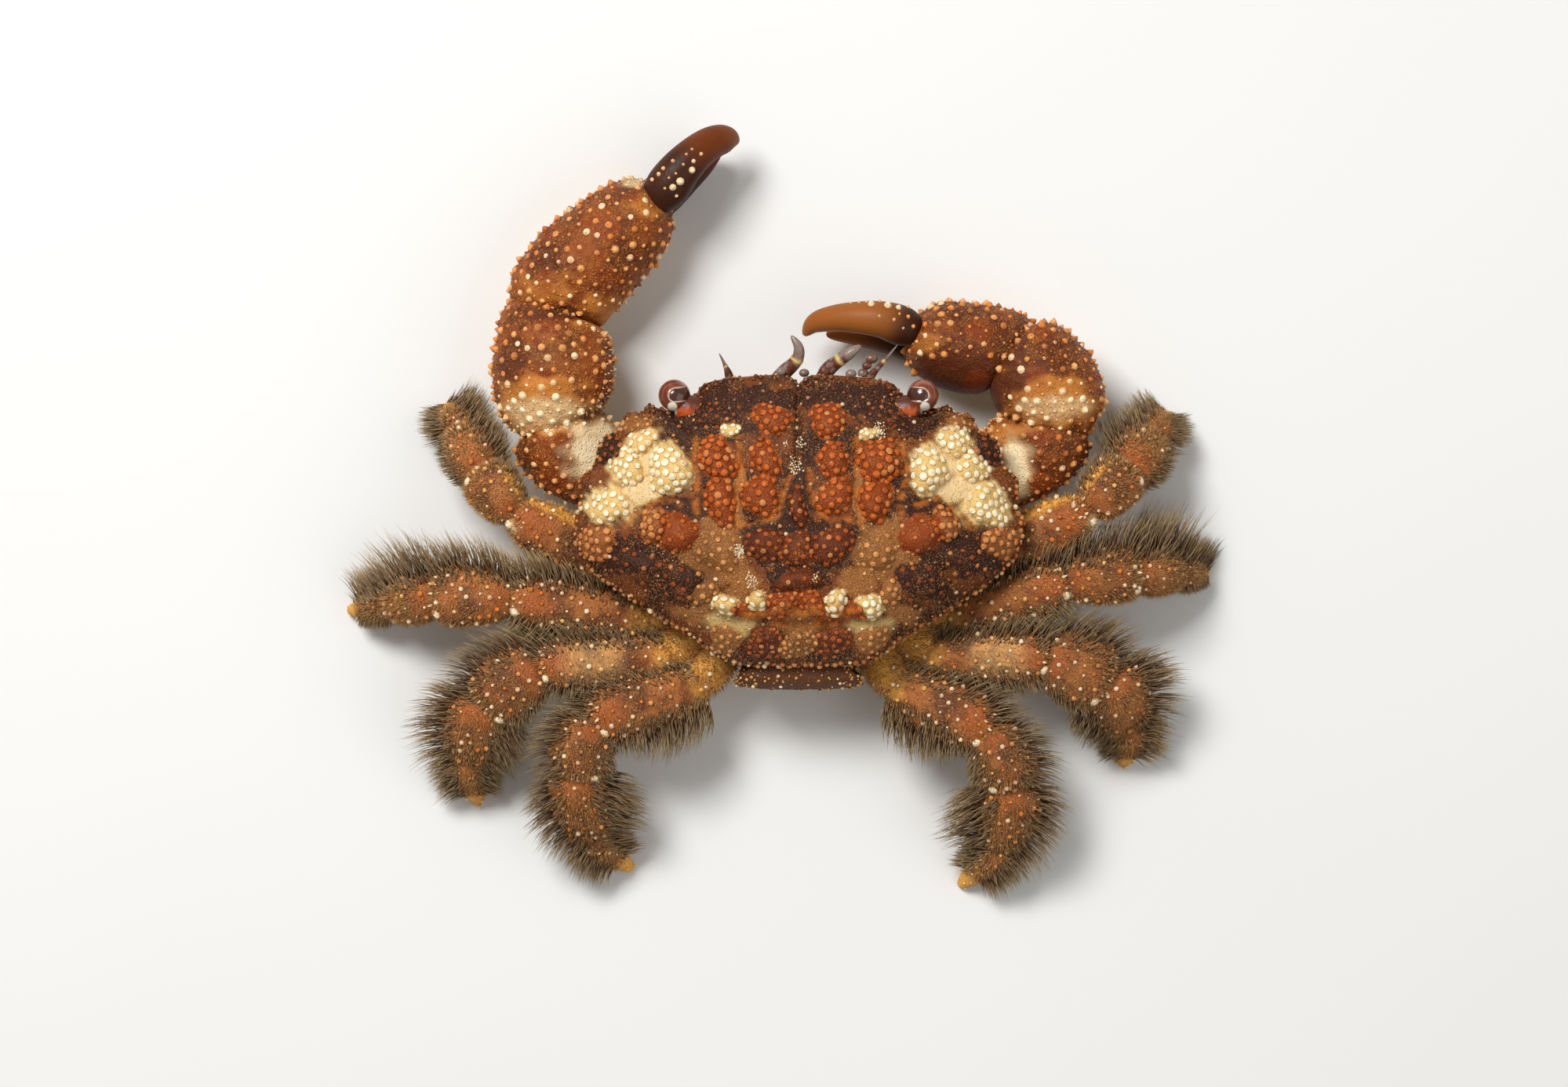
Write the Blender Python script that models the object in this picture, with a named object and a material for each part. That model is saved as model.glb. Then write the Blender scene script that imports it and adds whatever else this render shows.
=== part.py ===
"""A small, granular reef crab as a still, life-size display model, standing on its leg tips.

Places are in millimetres from the middle of the carapace: +X is the crab's own left, -Y is its front and
+Z is up, with the floor at zero. They become metres, centred on the whole crab's reach, in each mesh.
"""

import math
import random
from dataclasses import dataclass

import bmesh
import bpy
from mathutils import Vector

MM = 0.001
UP = Vector((0, 0, 1))

# Middle of the whole crab's reach on the floor, measured from the middle of the carapace
REACH_CENTRE = Vector((1.01, -0.635, 0))

# Clear space between neighbouring pieces
GAP = 0.3
HALF_GAP = GAP / 2

# Carapace: half outline from the front notch round the crab's left side to the rear, and its heights
CARAPACE_MARGIN = (
    (0.0, -7.35), (0.7, -7.8), (2.7, -7.75), (4.9, -7.4), (5.7, -6.6), (7.2, -6.0), (8.0, -6.25),
    (8.4, -5.8), (9.15, -5.75), (9.6, -4.95), (10.6, -4.35), (10.95, -3.1), (11.75, -2.2),
    (11.7, -0.95), (12.0, 0.1), (11.85, 1.4), (11.0, 2.75), (8.3, 5.25), (5.0, 7.4), (3.6, 7.75), (0.0, 7.8),
)
CARAPACE_TOP = 10.7
CARAPACE_RIM = 7.2
FRONT_RISE = 0.45
REAR_FALL = 0.2
FRONT_FULLNESS = 2.0
REAR_FULLNESS = 2.5
DOME_ROUNDNESS = 0.58
MARGIN_FADE = 6
CARAPACE_UNDERSIDE = 5.6
UNDERSIDE_SHARE = 0.8
CARAPACE_COLUMNS = 40
CARAPACE_ROWS = 28
REGION_BOLDNESS = 1.9
REGION_FULLNESS = 1.5
GRANULE_HEIGHT = 0.2
GRANULAR_LIFT = 0.25
GRANULE_VARIETY = (0.7, 1.3)

# Raised regions of the carapace on one side: x, y, reach along x, reach along y, height
REGIONS = (
    (1.45, -5.75, 1.15, 0.85, 0.40),
    (1.95, -2.35, 0.90, 2.00, 0.38),
    (4.20, -2.10, 1.10, 2.05, 0.45),
    (4.30, -5.20, 1.10, 0.90, 0.22),
    (8.20, -4.40, 1.00, 1.00, 0.40),
    (7.00, -2.60, 1.30, 1.25, 0.50),
    (9.10, -3.00, 1.10, 1.00, 0.42),
    (10.10, -0.85, 1.20, 1.10, 0.48),
    (10.50, -3.60, 0.90, 0.95, 0.35),
    (10.80, 1.20, 1.05, 1.10, 0.38),
    (7.60, 0.30, 0.95, 0.95, 0.36),
    (6.20, 0.85, 1.20, 1.10, 0.48),
    (4.20, 1.75, 1.15, 1.10, 0.36),
    (8.60, 2.90, 1.30, 1.00, 0.28),
    (6.20, 3.30, 1.25, 0.95, 0.28),
    (1.60, 1.10, 1.25, 1.00, 0.34),
    (0.00, -1.20, 0.65, 2.00, 0.26),
    (0.00, 2.90, 1.50, 1.00, 0.34),
    (3.80, 4.25, 0.80, 0.75, 0.42),
    (2.05, 4.30, 0.80, 0.75, 0.42),
    (0.00, 6.30, 2.60, 0.90, 0.26),
)

# Underbody: its share of the carapace's outline at each height
UNDERBODY_LEVELS = ((5.3, 0.78), (4.6, 0.69), (3.7, 0.61), (2.8, 0.53), (2.2, 0.42))
UNDERBODY_SIDES = 40
LEG_SOCKET_RADIUS = 0.84
LEG_SOCKET_ROOT_SHARE = 0.55
LEG_SOCKET_DROP = 0.3
CLAW_SOCKET_RADIUS = 1.15
CLAW_SOCKET_LENGTH = 3.4
SOCKET_FLARE = 1.15

# Pleon, the tail folded under the body: y, z, half width and half thickness at each step along it
PLEON_STEPS = (
    (8.45, 6.35, 3.30, 0.34), (8.62, 5.50, 3.45, 0.42), (8.35, 4.30, 3.30, 0.42), (7.40, 2.90, 2.90, 0.40),
    (5.90, 1.80, 2.50, 0.38), (3.70, 1.28, 2.20, 0.36), (1.60, 1.22, 1.70, 0.34), (0.20, 1.25, 0.90, 0.30),
)
PLEON_SIDES = 16
PLEON_SQUARENESS = 0.65

# Eyes: the cornea's middle and radius, and the short stalk that carries it
EYE_CENTRE = Vector((6.65, -6.75, 8.05))
EYE_RADIUS = 0.86
STALK_ROOT = Vector((5.45, -5.45, 7.55))
STALK_RADIUS = 0.62
STALK_PROFILE = ((0.0, 0.7), (0.35, 1.0), (0.7, 1.0), (1.0, 1.08))
CORNEA_SEAM_SHARE = 0.45
ORBIT_GAP = 0.375
ORBIT_SIDES = 14

# Feelers under the front margin, each as points with a radius
ANTENNULES = {
    "left": ((0.75, -8.15, 6.55, 0.42), (-0.15, -8.75, 6.95, 0.34), (-0.05, -9.35, 7.25, 0.29),
             (0.45, -9.95, 7.35, 0.16)),
    "right": ((-1.55, -8.15, 6.55, 0.42), (-2.15, -8.6, 6.95, 0.34), (-2.75, -9.0, 7.25, 0.29),
              (-3.35, -9.4, 7.35, 0.16)),
}
ANTENNAE = {
    "left": ((3.75, -8.1, 6.75, 0.34), (3.95, -8.5, 7.1, 0.27), (4.25, -9.0, 7.5, 0.13)),
    "right": ((-3.95, -8.1, 6.75, 0.34), (-4.6, -8.75, 7.1, 0.27), (-5.3, -9.45, 7.5, 0.13)),
}
FEELER_SIDES = 8

# Mouth plates: middle, half width, half depth and half height of one
MOUTH_PLATE = (Vector((1.35, -5.45, 3.35)), 1.08, 0.42, 1.3)
MOUTH_SLOPE = 0.85
MOUTH_ROUNDING = 0.35
MOUTH_SQUARENESS = 0.72
MOUTH_TAPER = 0.16

SEGMENTS = ("merus", "carpus", "propodus", "dactyl")

# Walking legs: root, knee, wrist, ankle and tip of each, seen from above
LEG_JOINTS = {
    ("leg1", "left"): ((8.3, 2.95), (15.4, -0.4), (17.1, -2.65), (18.45, -4.95), (19.2, -6.45)),
    ("leg2", "left"): ((8.0, 5.4), (15.5, 4.25), (19.8, 3.9), (22.35, 4.35), (24.3, 4.6)),
    ("leg3", "left"): ((6.8, 7.35), (14.0, 7.75), (17.45, 9.25), (18.3, 12.75), (17.55, 15.45)),
    ("leg4", "left"): ((5.05, 8.75), (11.2, 10.9), (11.95, 13.7), (11.15, 17.2), (9.0, 19.1)),
    ("leg1", "right"): ((-8.3, 2.95), (-15.75, -0.7), (-17.75, -2.8), (-19.45, -4.6), (-20.2, -6.1)),
    ("leg2", "right"): ((-8.0, 5.3), (-14.5, 3.2), (-18.25, 2.5), (-20.7, 2.4), (-22.2, 2.4)),
    ("leg3", "right"): ((-6.8, 7.3), (-13.55, 7.35), (-16.85, 8.7), (-17.8, 11.25), (-17.8, 13.35)),
    ("leg4", "right"): ((-5.05, 8.75), (-10.3, 11.5), (-11.35, 14.45), (-10.6, 17.8), (-8.8, 19.55)),
}
LEG_HEIGHTS = (4.0, 5.7, 5.1, 2.5, 0.0)
LEG_SIDES = 8
LEG_HALF_WIDTHS = {"merus": 1.4, "carpus": 1.3, "propodus": 1.22, "dactyl": 0.82}
LEG_FLATNESS = 0.86
DACTYL_FLATNESS = 0.9
TIP_FLAT = 0.27
DACTYL_ARCH = 0.55

# Shares of a segment's length, of its half width and of its half height, from base to end
SEGMENT_PROFILES = {
    "merus": ((0.0, 0.62), (0.18, 0.72), (0.45, 0.92), (0.75, 1.0), (1.0, 0.82)),
    "carpus": ((0.0, 0.8), (0.3, 1.0), (0.7, 1.06), (1.0, 0.86)),
    "propodus": ((0.0, 0.86), (0.25, 1.04), (0.65, 1.0), (1.0, 0.74)),
    "dactyl": ((0.0, 1.0), (0.35, 0.95), (0.7, 0.66), (1.0, 0.33)),
}

# Reach of the locks of hairs past each margin, on the merus, carpus, propodus and dactyl
FRINGES = {
    ("leg1", "left"): {"front": (0.0, 0.0, 1.2, 1.2), "rear": (0.0, 0.0, 0.0, 0.6)},
    ("leg2", "left"): {"front": (1.2, 2.0, 2.8, 1.7), "rear": (0.9, 0.0, 0.0, 0.6)},
    ("leg3", "left"): {"front": (1.2, 2.0, 2.4, 1.6), "rear": (0.9, 1.0, 1.6, 1.0)},
    ("leg4", "left"): {"front": (1.4, 2.1, 2.2, 1.2), "rear": (2.2, 1.2, 2.2, 1.2)},
    ("leg1", "right"): {"front": (0.0, 0.0, 1.2, 1.1), "rear": (0.0, 0.0, 0.6, 0.7)},
    ("leg2", "right"): {"front": (1.0, 1.5, 2.6, 1.6), "rear": (0.9, 0.0, 0.0, 0.0)},
    ("leg3", "right"): {"front": (1.2, 2.3, 2.8, 1.7), "rear": (0.9, 0.8, 1.3, 0.9)},
    ("leg4", "right"): {"front": (1.4, 2.0, 2.4, 1.2), "rear": (2.1, 1.2, 2.2, 0.8)},
}

# Share of each leg's first segment, from its root, that has no locks
MERUS_BARE_SHARE = {"leg1": 0.5, "leg2": 0.5, "leg3": 0.5, "leg4": 0.1}

# Tiers of locks on a margin: tilt up from level in degrees, share of the reach, and offset of the first lock
LOCK_TIERS = {
    "front": ((-6, 1.0, 0.0), (36, 0.85, 1.0)),
    "rear": ((6, 1.0, 0.5),),
}
SECOND_TIER_REACH = 1.5
SHORTEST_LOCK = 0.7
LOCK_SPANS = {"merus": (0.0, 0.96), "carpus": (0.06, 0.94), "propodus": (0.06, 0.94), "dactyl": (0.08, 0.72)}
LOCK_SPACING = 1.3
LOCK_WIDTH = 1.5
LOCK_THICKNESS = 0.55
LOCK_BEND = 0.42
LOCK_SINK = 0.5
LOCK_SWAY = 5
LOCK_VARIETY = (0.85, 1.08)
LOCK_PROFILE = ((0.0, 0.7, 1.0), (0.45, 1.0, 0.95), (0.8, 0.68, 0.75))
LOCK_TIP_WIDTH = 0.12
FLOOR_CLEARANCE = 0.3

# Claw-bearing legs: joints from above, and the middle heights of their segments
CLAW_JOINTS = {
    "left": ((7.9, -1.0), (13.25, -5.05), (13.2, -11.25), (7.25, -17.65)),
    "right": ((-7.9, -1.0), (-13.8, -5.05), (-11.75, -9.45), (-5.65, -10.6)),
}
CLAW_SIDES = 18
CLAW_MERUS_SIDES = 14

# Sections along each claw piece: x, y, z, half width and half height
CLAW_MERUS = {
    "left": ((8.7, -1.6, 3.3, 1.1, 1.1), (10.1, -2.4, 3.5, 1.95, 1.5), (11.6, -3.4, 3.8, 2.6, 1.85),
             (13.0, -4.6, 4.0, 2.65, 2.1), (14.3, -5.8, 4.1, 2.3, 1.9)),
    "right": ((-8.7, -1.6, 3.3, 1.1, 1.1), (-10.2, -2.4, 3.5, 1.95, 1.5), (-11.9, -3.4, 3.8, 2.55, 1.85),
              (-13.4, -4.55, 4.0, 2.55, 2.1), (-15.0, -5.75, 4.1, 2.2, 1.9)),
}
CLAW_CARPUS = {
    "left": ((13.25, -3.9, 4.2, 1.3, 1.3), (13.28, -5.4, 4.2, 2.6, 2.3), (13.3, -6.9, 4.2, 3.2, 2.8),
             (13.25, -8.4, 4.2, 3.35, 2.9), (13.25, -9.8, 4.1, 3.1, 2.7), (13.25, -11.2, 3.9, 2.6, 2.2),
             (13.2, -12.4, 3.8, 1.6, 1.4)),
    "right": ((-14.4, -4.0, 4.2, 1.3, 1.3), (-14.0, -5.3, 4.2, 2.5, 2.3), (-13.65, -6.6, 4.2, 3.0, 2.8),
              (-13.0, -7.85, 4.2, 2.95, 2.9), (-12.3, -9.1, 4.1, 2.5, 2.6), (-11.6, -10.2, 3.9, 1.7, 2.0)),
}
CLAW_PALM = {
    "left": ((13.4, -10.4, 3.7, 2.0, 1.5), (13.05, -11.6, 3.5, 2.7, 2.3), (12.3, -12.7, 3.3, 2.95, 2.9),
             (11.4, -13.65, 3.2, 2.95, 3.15), (10.45, -14.5, 3.15, 2.8, 3.22), (9.5, -15.4, 3.15, 2.65, 3.2),
             (8.65, -16.3, 3.2, 2.35, 3.0), (7.9, -17.1, 3.25, 1.85, 2.6), (7.5, -17.55, 3.25, 1.5, 2.2)),
    "right": ((-13.2, -9.0, 3.7, 1.3, 1.5), (-12.0, -8.95, 3.5, 2.2, 2.3), (-10.9, -8.9, 3.3, 2.55, 2.9),
              (-9.8, -8.95, 3.2, 2.7, 3.15), (-8.7, -9.1, 3.15, 2.75, 3.22), (-7.7, -9.45, 3.2, 2.55, 3.1),
              (-6.8, -9.85, 3.2, 2.2, 2.8), (-6.05, -10.3, 3.25, 1.7, 2.3)),
}
FIXED_FINGER = {
    "left": ((8.8, -16.7, 2.1, 1.2, 1.3), (7.3, -17.75, 1.75, 1.05, 1.1), (6.1, -18.85, 1.5, 0.9, 0.9),
             (5.0, -19.75, 1.55, 0.7, 0.68), (4.15, -20.25, 1.75, 0.42, 0.42)),
    "right": ((-7.2, -9.3, 2.1, 1.3, 1.3), (-5.6, -9.6, 1.75, 1.1, 1.1), (-4.0, -9.85, 1.5, 0.9, 0.9),
              (-2.6, -9.95, 1.55, 0.7, 0.68), (-1.5, -9.8, 1.75, 0.42, 0.42)),
}
CLAW_DACTYL = {
    "left": ((7.0, -17.95, 4.75, 1.05, 1.0), (6.25, -19.1, 4.95, 0.98, 0.98), (5.4, -19.95, 4.75, 0.88, 0.9),
             (4.5, -20.42, 4.25, 0.78, 0.8), (3.75, -20.6, 3.6, 0.66, 0.64), (3.42, -20.62, 3.1, 0.4, 0.4)),
    "right": ((-5.35, -10.95, 4.75, 1.02, 1.0), (-4.1, -10.95, 4.95, 0.95, 0.98),
              (-2.8, -10.92, 4.8, 0.85, 0.9), (-1.7, -10.7, 4.35, 0.72, 0.78),
              (-0.85, -10.2, 3.7, 0.56, 0.6), (-0.5, -9.75, 3.15, 0.36, 0.4)),
}
FINGER_SIDES = 10
TUBERCLE_HEIGHT = 0.34
TUBERCLE_INSET = 0.26
FINGER_TUBERCLE_INSET = 0.13
TUBERCLE_SHARE = 0.9
TUBERCLE_ROOM = 2.6
TUBERCLE_VARIETY = (0.7, 1.15)

FINISHES = {
    "shell": ((0.20, 0.075, 0.04), 0.45),
    "claw": ((0.36, 0.14, 0.055), 0.42),
    "finger": ((0.28, 0.10, 0.035), 0.25),
    "leg": ((0.19, 0.10, 0.065), 0.55),
    "underside": ((0.55, 0.42, 0.26), 0.50),
    "cornea": ((0.16, 0.05, 0.025), 0.08),
    "stalk": ((0.60, 0.22, 0.06), 0.35),
    "feeler": ((0.24, 0.13, 0.09), 0.40),
}


@dataclass
class Section:
    """One oval cross-section of a limb, in a plane that may lean from the limb's own heading."""

    centre: Vector
    heading: Vector
    half_width: float
    half_height: float
    plane: Vector


def metres(point):
    """A place measured from the carapace, in millimetres, as metres from the model's own origin."""
    return (Vector(point) - REACH_CENTRE) * MM


def new_collection(name):
    """A collection linked to the scene."""
    collection = bpy.data.collections.new(name)
    bpy.context.scene.collection.children.link(collection)
    return collection


def new_material(name):
    """The Principled material of one finish."""
    colour, roughness = FINISHES[name]
    material = bpy.data.materials.new(name)
    material.use_nodes = True
    shader = material.node_tree.nodes["Principled BSDF"]
    shader.inputs["Base Color"].default_value = (*colour, 1)
    shader.inputs["Roughness"].default_value = roughness
    shader.inputs["Metallic"].default_value = 0
    return material


def new_object(name, bm, collection, finish=None):
    """Turns a mesh under construction into a named object, in metres, with its faces pointing out."""
    bmesh.ops.recalc_face_normals(bm, faces=bm.faces[:])
    if bm.calc_volume(signed=True) < 0:
        bmesh.ops.reverse_faces(bm, faces=bm.faces[:])
    for vertex in bm.verts:
        vertex.co = metres(vertex.co)
    mesh = bpy.data.meshes.new(name)
    bm.to_mesh(mesh)
    bm.free()
    body = bpy.data.objects.new(name, mesh)
    collection.objects.link(body)
    if finish:
        body.data.materials.append(new_material(finish))
        body.data.shade_smooth()
        body.data.set_sharp_from_angle(angle=math.radians(50))
    return body


def loft(bm, rings):
    """Skins a run of equal rings, closes both ends, and returns the side faces ring by ring."""
    loops = [[bm.verts.new(point) for point in ring] for ring in rings]
    count = len(loops[0])
    bands = []
    for near, far in zip(loops, loops[1:]):
        band = []
        for side in range(count):
            following = (side + 1) % count
            band.append(bm.faces.new((near[side], near[following], far[following], far[side])))
        bands.append(band)
    bm.faces.new(loops[0])
    bm.faces.new(loops[-1])
    return bands


def ring_points(section, across, sides):
    """The corners of an oval section, slid along the limb's heading onto the section's plane."""
    upward = across.cross(section.heading).normalized()
    if upward.z < 0:
        upward = -upward
    points = []
    for step in range(sides):
        angle = math.tau * (step + 0.5) / sides
        offset = across * section.half_width * math.cos(angle)
        offset += upward * section.half_height * math.sin(angle)
        slide = offset.dot(section.plane) / section.heading.dot(section.plane)
        points.append(section.centre + offset - section.heading * slide)
    return points


def limb_rings(sections, sides):
    """Rings of a limb whose sections share one level direction across it."""
    run = sections[-1].centre - sections[0].centre
    across = Vector((run.y, -run.x, 0)).normalized()
    rings = []
    for section in sections:
        square = across - section.heading * across.dot(section.heading)
        rings.append(ring_points(section, square.normalized(), sides))
    return rings


def sections_along(steps):
    """Sections square to the path through steps of x, y, z, half width and half height."""
    centres = [Vector(step[:3]) for step in steps]
    sections = []
    for index, step in enumerate(steps):
        before = centres[max(index - 1, 0)]
        after = centres[min(index + 1, len(steps) - 1)]
        heading = (after - before).normalized()
        sections.append(Section(centres[index], heading, step[3], step[4], heading))
    return sections


def cut_flat(bm, point, outward):
    """Cuts away what lies beyond a plane and closes the cut with one flat face."""
    everything = bm.verts[:] + bm.edges[:] + bm.faces[:]
    bmesh.ops.bisect_plane(bm, geom=everything, plane_co=point, plane_no=outward, dist=1e-4, clear_outer=True)
    rim = [edge for edge in bm.edges if edge.is_boundary]
    bmesh.ops.edgeloop_fill(bm, edges=rim)


def keep_largest(body):
    """Keeps only the largest closed surface of an object's mesh."""
    bm = bmesh.new()
    bm.from_mesh(body.data)
    bm.faces.ensure_lookup_table()
    unseen = set(bm.faces)
    islands = []
    while unseen:
        queue = [unseen.pop()]
        island = set(queue)
        while queue:
            face = queue.pop()
            for edge in face.edges:
                for other in edge.link_faces:
                    if other in unseen:
                        unseen.discard(other)
                        island.add(other)
                        queue.append(other)
        islands.append(island)
    islands.sort(key=len, reverse=True)
    scraps = [face for island in islands[1:] for face in island]
    bmesh.ops.delete(bm, geom=scraps, context="FACES")
    bm.to_mesh(body.data)
    bm.free()


def apply_modifiers(body):
    """Replaces an object's mesh by its evaluated one."""
    evaluated = body.evaluated_get(bpy.context.evaluated_depsgraph_get())
    finished = bpy.data.meshes.new_from_object(evaluated)
    body.modifiers.clear()
    body.data = finished


def join_pieces(body, pieces):
    """Fuses separate closed pieces into a node with one union, and removes them."""
    collection = new_collection(body.name + "_pieces")
    for piece in pieces:
        for holder in piece.users_collection:
            holder.objects.unlink(piece)
        collection.objects.link(piece)
    union = body.modifiers.new("union", "BOOLEAN")
    union.operation = "UNION"
    union.operand_type = "COLLECTION"
    union.collection = collection
    union.solver = "EXACT"
    apply_modifiers(body)
    for piece in pieces:
        bpy.data.objects.remove(piece)
    bpy.data.collections.remove(collection)
    keep_largest(body)


def cut_with(body, cutter):
    """Cuts one closed shape out of a node and removes the cutter."""
    cutter.hide_render = True
    cutter.display_type = "WIRE"
    cut = body.modifiers.new("cut", "BOOLEAN")
    cut.operation = "DIFFERENCE"
    cut.object = cutter
    cut.solver = "EXACT"
    apply_modifiers(body)
    bpy.data.objects.remove(cutter)
    keep_largest(body)


def margin_distance(angle):
    """How far the carapace's margin lies from its middle, in one direction seen from above."""
    direction = Vector((abs(math.cos(angle)), math.sin(angle)))
    for near, far in zip(CARAPACE_MARGIN, CARAPACE_MARGIN[1:]):
        start = Vector(near)
        edge = Vector(far) - start
        before = direction.x * start.y - direction.y * start.x
        after = direction.x * far[1] - direction.y * far[0]
        if before <= 0 <= after:
            return (start.x * edge.y - start.y * edge.x) / (direction.x * edge.y - direction.y * edge.x)
    return abs(CARAPACE_MARGIN[0][1] if direction.y < 0 else CARAPACE_MARGIN[-1][1])


def rim_height(angle):
    """Height of the carapace's margin: highest in front, where the eyes look out."""
    front = max(0.0, -math.sin(angle))
    rear = max(0.0, math.sin(angle))
    return CARAPACE_RIM + FRONT_RISE * front ** 2 - REAR_FALL * rear ** 2


def region_height(x, y):
    """How far the raised regions lift the carapace at a place."""
    tallest = 0.0
    for centre_x, centre_y, reach_x, reach_y, height in REGIONS:
        share = ((abs(x) - centre_x) / reach_x) ** 2 + ((y - centre_y) / reach_y) ** 2
        if share < 1:
            tallest = max(tallest, REGION_BOLDNESS * height * (1 - share ** REGION_FULLNESS))
    return tallest


def carapace_point(across, along):
    """Place and region height for a spot on the unit square, which maps onto the carapace's outline."""
    u = across * math.sqrt(1 - along * along / 2)
    v = along * math.sqrt(1 - across * across / 2)
    share = min(math.hypot(u, v), 1.0)
    angle = math.atan2(v, u)
    distance = margin_distance(angle) * share
    x = distance * math.cos(angle)
    y = distance * math.sin(angle)
    rim = rim_height(angle)
    fullness = FRONT_FULLNESS if v < 0 else REAR_FULLNESS
    dome = rim + (CARAPACE_TOP - rim) * max(0.0, 1 - share ** fullness) ** DOME_ROUNDNESS
    lift = region_height(x, y) * min(1.0, (1 - share) * MARGIN_FADE)
    return Vector((x, y, dome + lift)), lift


def build_carapace(crab, cutters):
    """The domed shell: raised granular regions above, a slanting underside and open orbits."""
    rng = random.Random(7)
    bm = bmesh.new()
    bmesh.ops.create_grid(bm, x_segments=CARAPACE_COLUMNS, y_segments=CARAPACE_ROWS, size=1.0)
    lifted = set()
    for vertex in bm.verts:
        vertex.co, lift = carapace_point(vertex.co.x, vertex.co.y)
        if lift > GRANULAR_LIFT:
            lifted.add(vertex)
    bm.normal_update()
    granular = [face for face in bm.faces if all(vertex in lifted for vertex in face.verts)]
    for peak in bmesh.ops.poke(bm, faces=granular)["verts"]:
        peak.co.z += GRANULE_HEIGHT * rng.uniform(*GRANULE_VARIETY)
    bmesh.ops.triangulate(bm, faces=bm.faces[:], quad_method="SHORT_EDGE")
    rim = [edge for edge in bm.edges if edge.is_boundary]
    grown = bmesh.ops.extrude_edge_only(bm, edges=rim)["geom"]
    rim = [part for part in grown if isinstance(part, bmesh.types.BMEdge)]
    for vertex in {vertex for edge in rim for vertex in edge.verts}:
        vertex.co.x *= UNDERSIDE_SHARE
        vertex.co.y *= UNDERSIDE_SHARE
        vertex.co.z = CARAPACE_UNDERSIDE
    bmesh.ops.edgeloop_fill(bm, edges=rim)
    shell = new_object("carapace", bm, crab, "shell")
    for sign in (1, -1):
        cut_with(shell, orbit_cutter(sign, cutters))


def orbit_cutter(sign, cutters):
    """The hollow that an eye and its stalk lie in: a round-ended rod wider than both by the gap."""
    eye = Vector((sign * EYE_CENTRE.x, EYE_CENTRE.y, EYE_CENTRE.z))
    root = Vector((sign * STALK_ROOT.x, STALK_ROOT.y, STALK_ROOT.z))
    reach = (eye - root).length
    run = (eye - root).normalized()
    wide = EYE_RADIUS + ORBIT_GAP
    narrow = STALK_RADIUS + ORBIT_GAP
    profile = (
        (-narrow, 0.3), (-narrow * 0.6, narrow * 0.8), (0, narrow), (reach - wide * 0.7, wide * 0.8),
        (reach - wide * 0.2, wide), (reach + wide * 0.5, wide * 0.9), (reach + wide * 1.1, wide * 0.4),
    )
    steps = [(*(root + run * distance), radius, radius) for distance, radius in profile]
    bm = bmesh.new()
    loft(bm, limb_rings(sections_along(steps), ORBIT_SIDES))
    return new_object("orbit_cutter", bm, cutters)


def outline_ring(height, share, sides):
    """The carapace's outline at a share of its size, as a level ring."""
    points = []
    for step in range(sides):
        angle = math.tau * (step + 0.5) / sides
        distance = margin_distance(angle) * share
        points.append(Vector((distance * math.cos(angle), distance * math.sin(angle), height)))
    return points


def socket(name, inside, mouth, heading, radius, crab):
    """A short leg socket that stands out of the underbody and ends flat, half a gap before the joint."""
    inner = Section(inside, heading, radius * SOCKET_FLARE, radius * SOCKET_FLARE, heading)
    outer = Section(mouth - heading * HALF_GAP, heading, radius, radius, heading)
    bm = bmesh.new()
    loft(bm, limb_rings((inner, outer), LEG_SIDES))
    return new_object(name, bm, crab)


def build_underbody(crab):
    """Breastplate and flanks in one piece, with a flat-ended socket for each of the ten legs."""
    bm = bmesh.new()
    loft(bm, [outline_ring(height, share, UNDERBODY_SIDES) for height, share in UNDERBODY_LEVELS])
    body = new_object("underbody", bm, crab, "underside")
    sockets = []
    for (leg, side), joints in LEG_JOINTS.items():
        places = leg_places(joints)
        heading = (places[1] - places[0]).normalized()
        inside = places[0] * LEG_SOCKET_ROOT_SHARE
        inside.z = places[0].z - LEG_SOCKET_DROP
        sockets.append(socket(f"{leg}_{side}_socket", inside, places[0], heading, LEG_SOCKET_RADIUS, crab))
    for side, steps in CLAW_MERUS.items():
        root = Vector(steps[0][:3])
        heading = (Vector(steps[1][:3]) - root).normalized()
        inside = root - heading * CLAW_SOCKET_LENGTH
        sockets.append(socket(f"claw_{side}_socket", inside, root, heading, CLAW_SOCKET_RADIUS, crab))
    join_pieces(body, sockets)


def build_pleon(crab):
    """The tail, folded from the carapace's rear margin down and forward under the breastplate."""
    sections = []
    for index, (y, z, half_width, half_thickness) in enumerate(PLEON_STEPS):
        before = PLEON_STEPS[max(index - 1, 0)]
        after = PLEON_STEPS[min(index + 1, len(PLEON_STEPS) - 1)]
        heading = Vector((0, after[0] - before[0], after[1] - before[1])).normalized()
        outward = Vector((1, 0, 0)).cross(heading)
        ring = []
        for step in range(PLEON_SIDES):
            angle = math.tau * (step + 0.5) / PLEON_SIDES
            spread = math.copysign(abs(math.cos(angle)) ** PLEON_SQUARENESS, math.cos(angle))
            depth = math.copysign(abs(math.sin(angle)) ** PLEON_SQUARENESS, math.sin(angle))
            ring.append(Vector((spread * half_width, y, z)) + outward * depth * half_thickness)
        sections.append(ring)
    bm = bmesh.new()
    loft(bm, sections)
    new_object("pleon", bm, crab, "underside")


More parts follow.
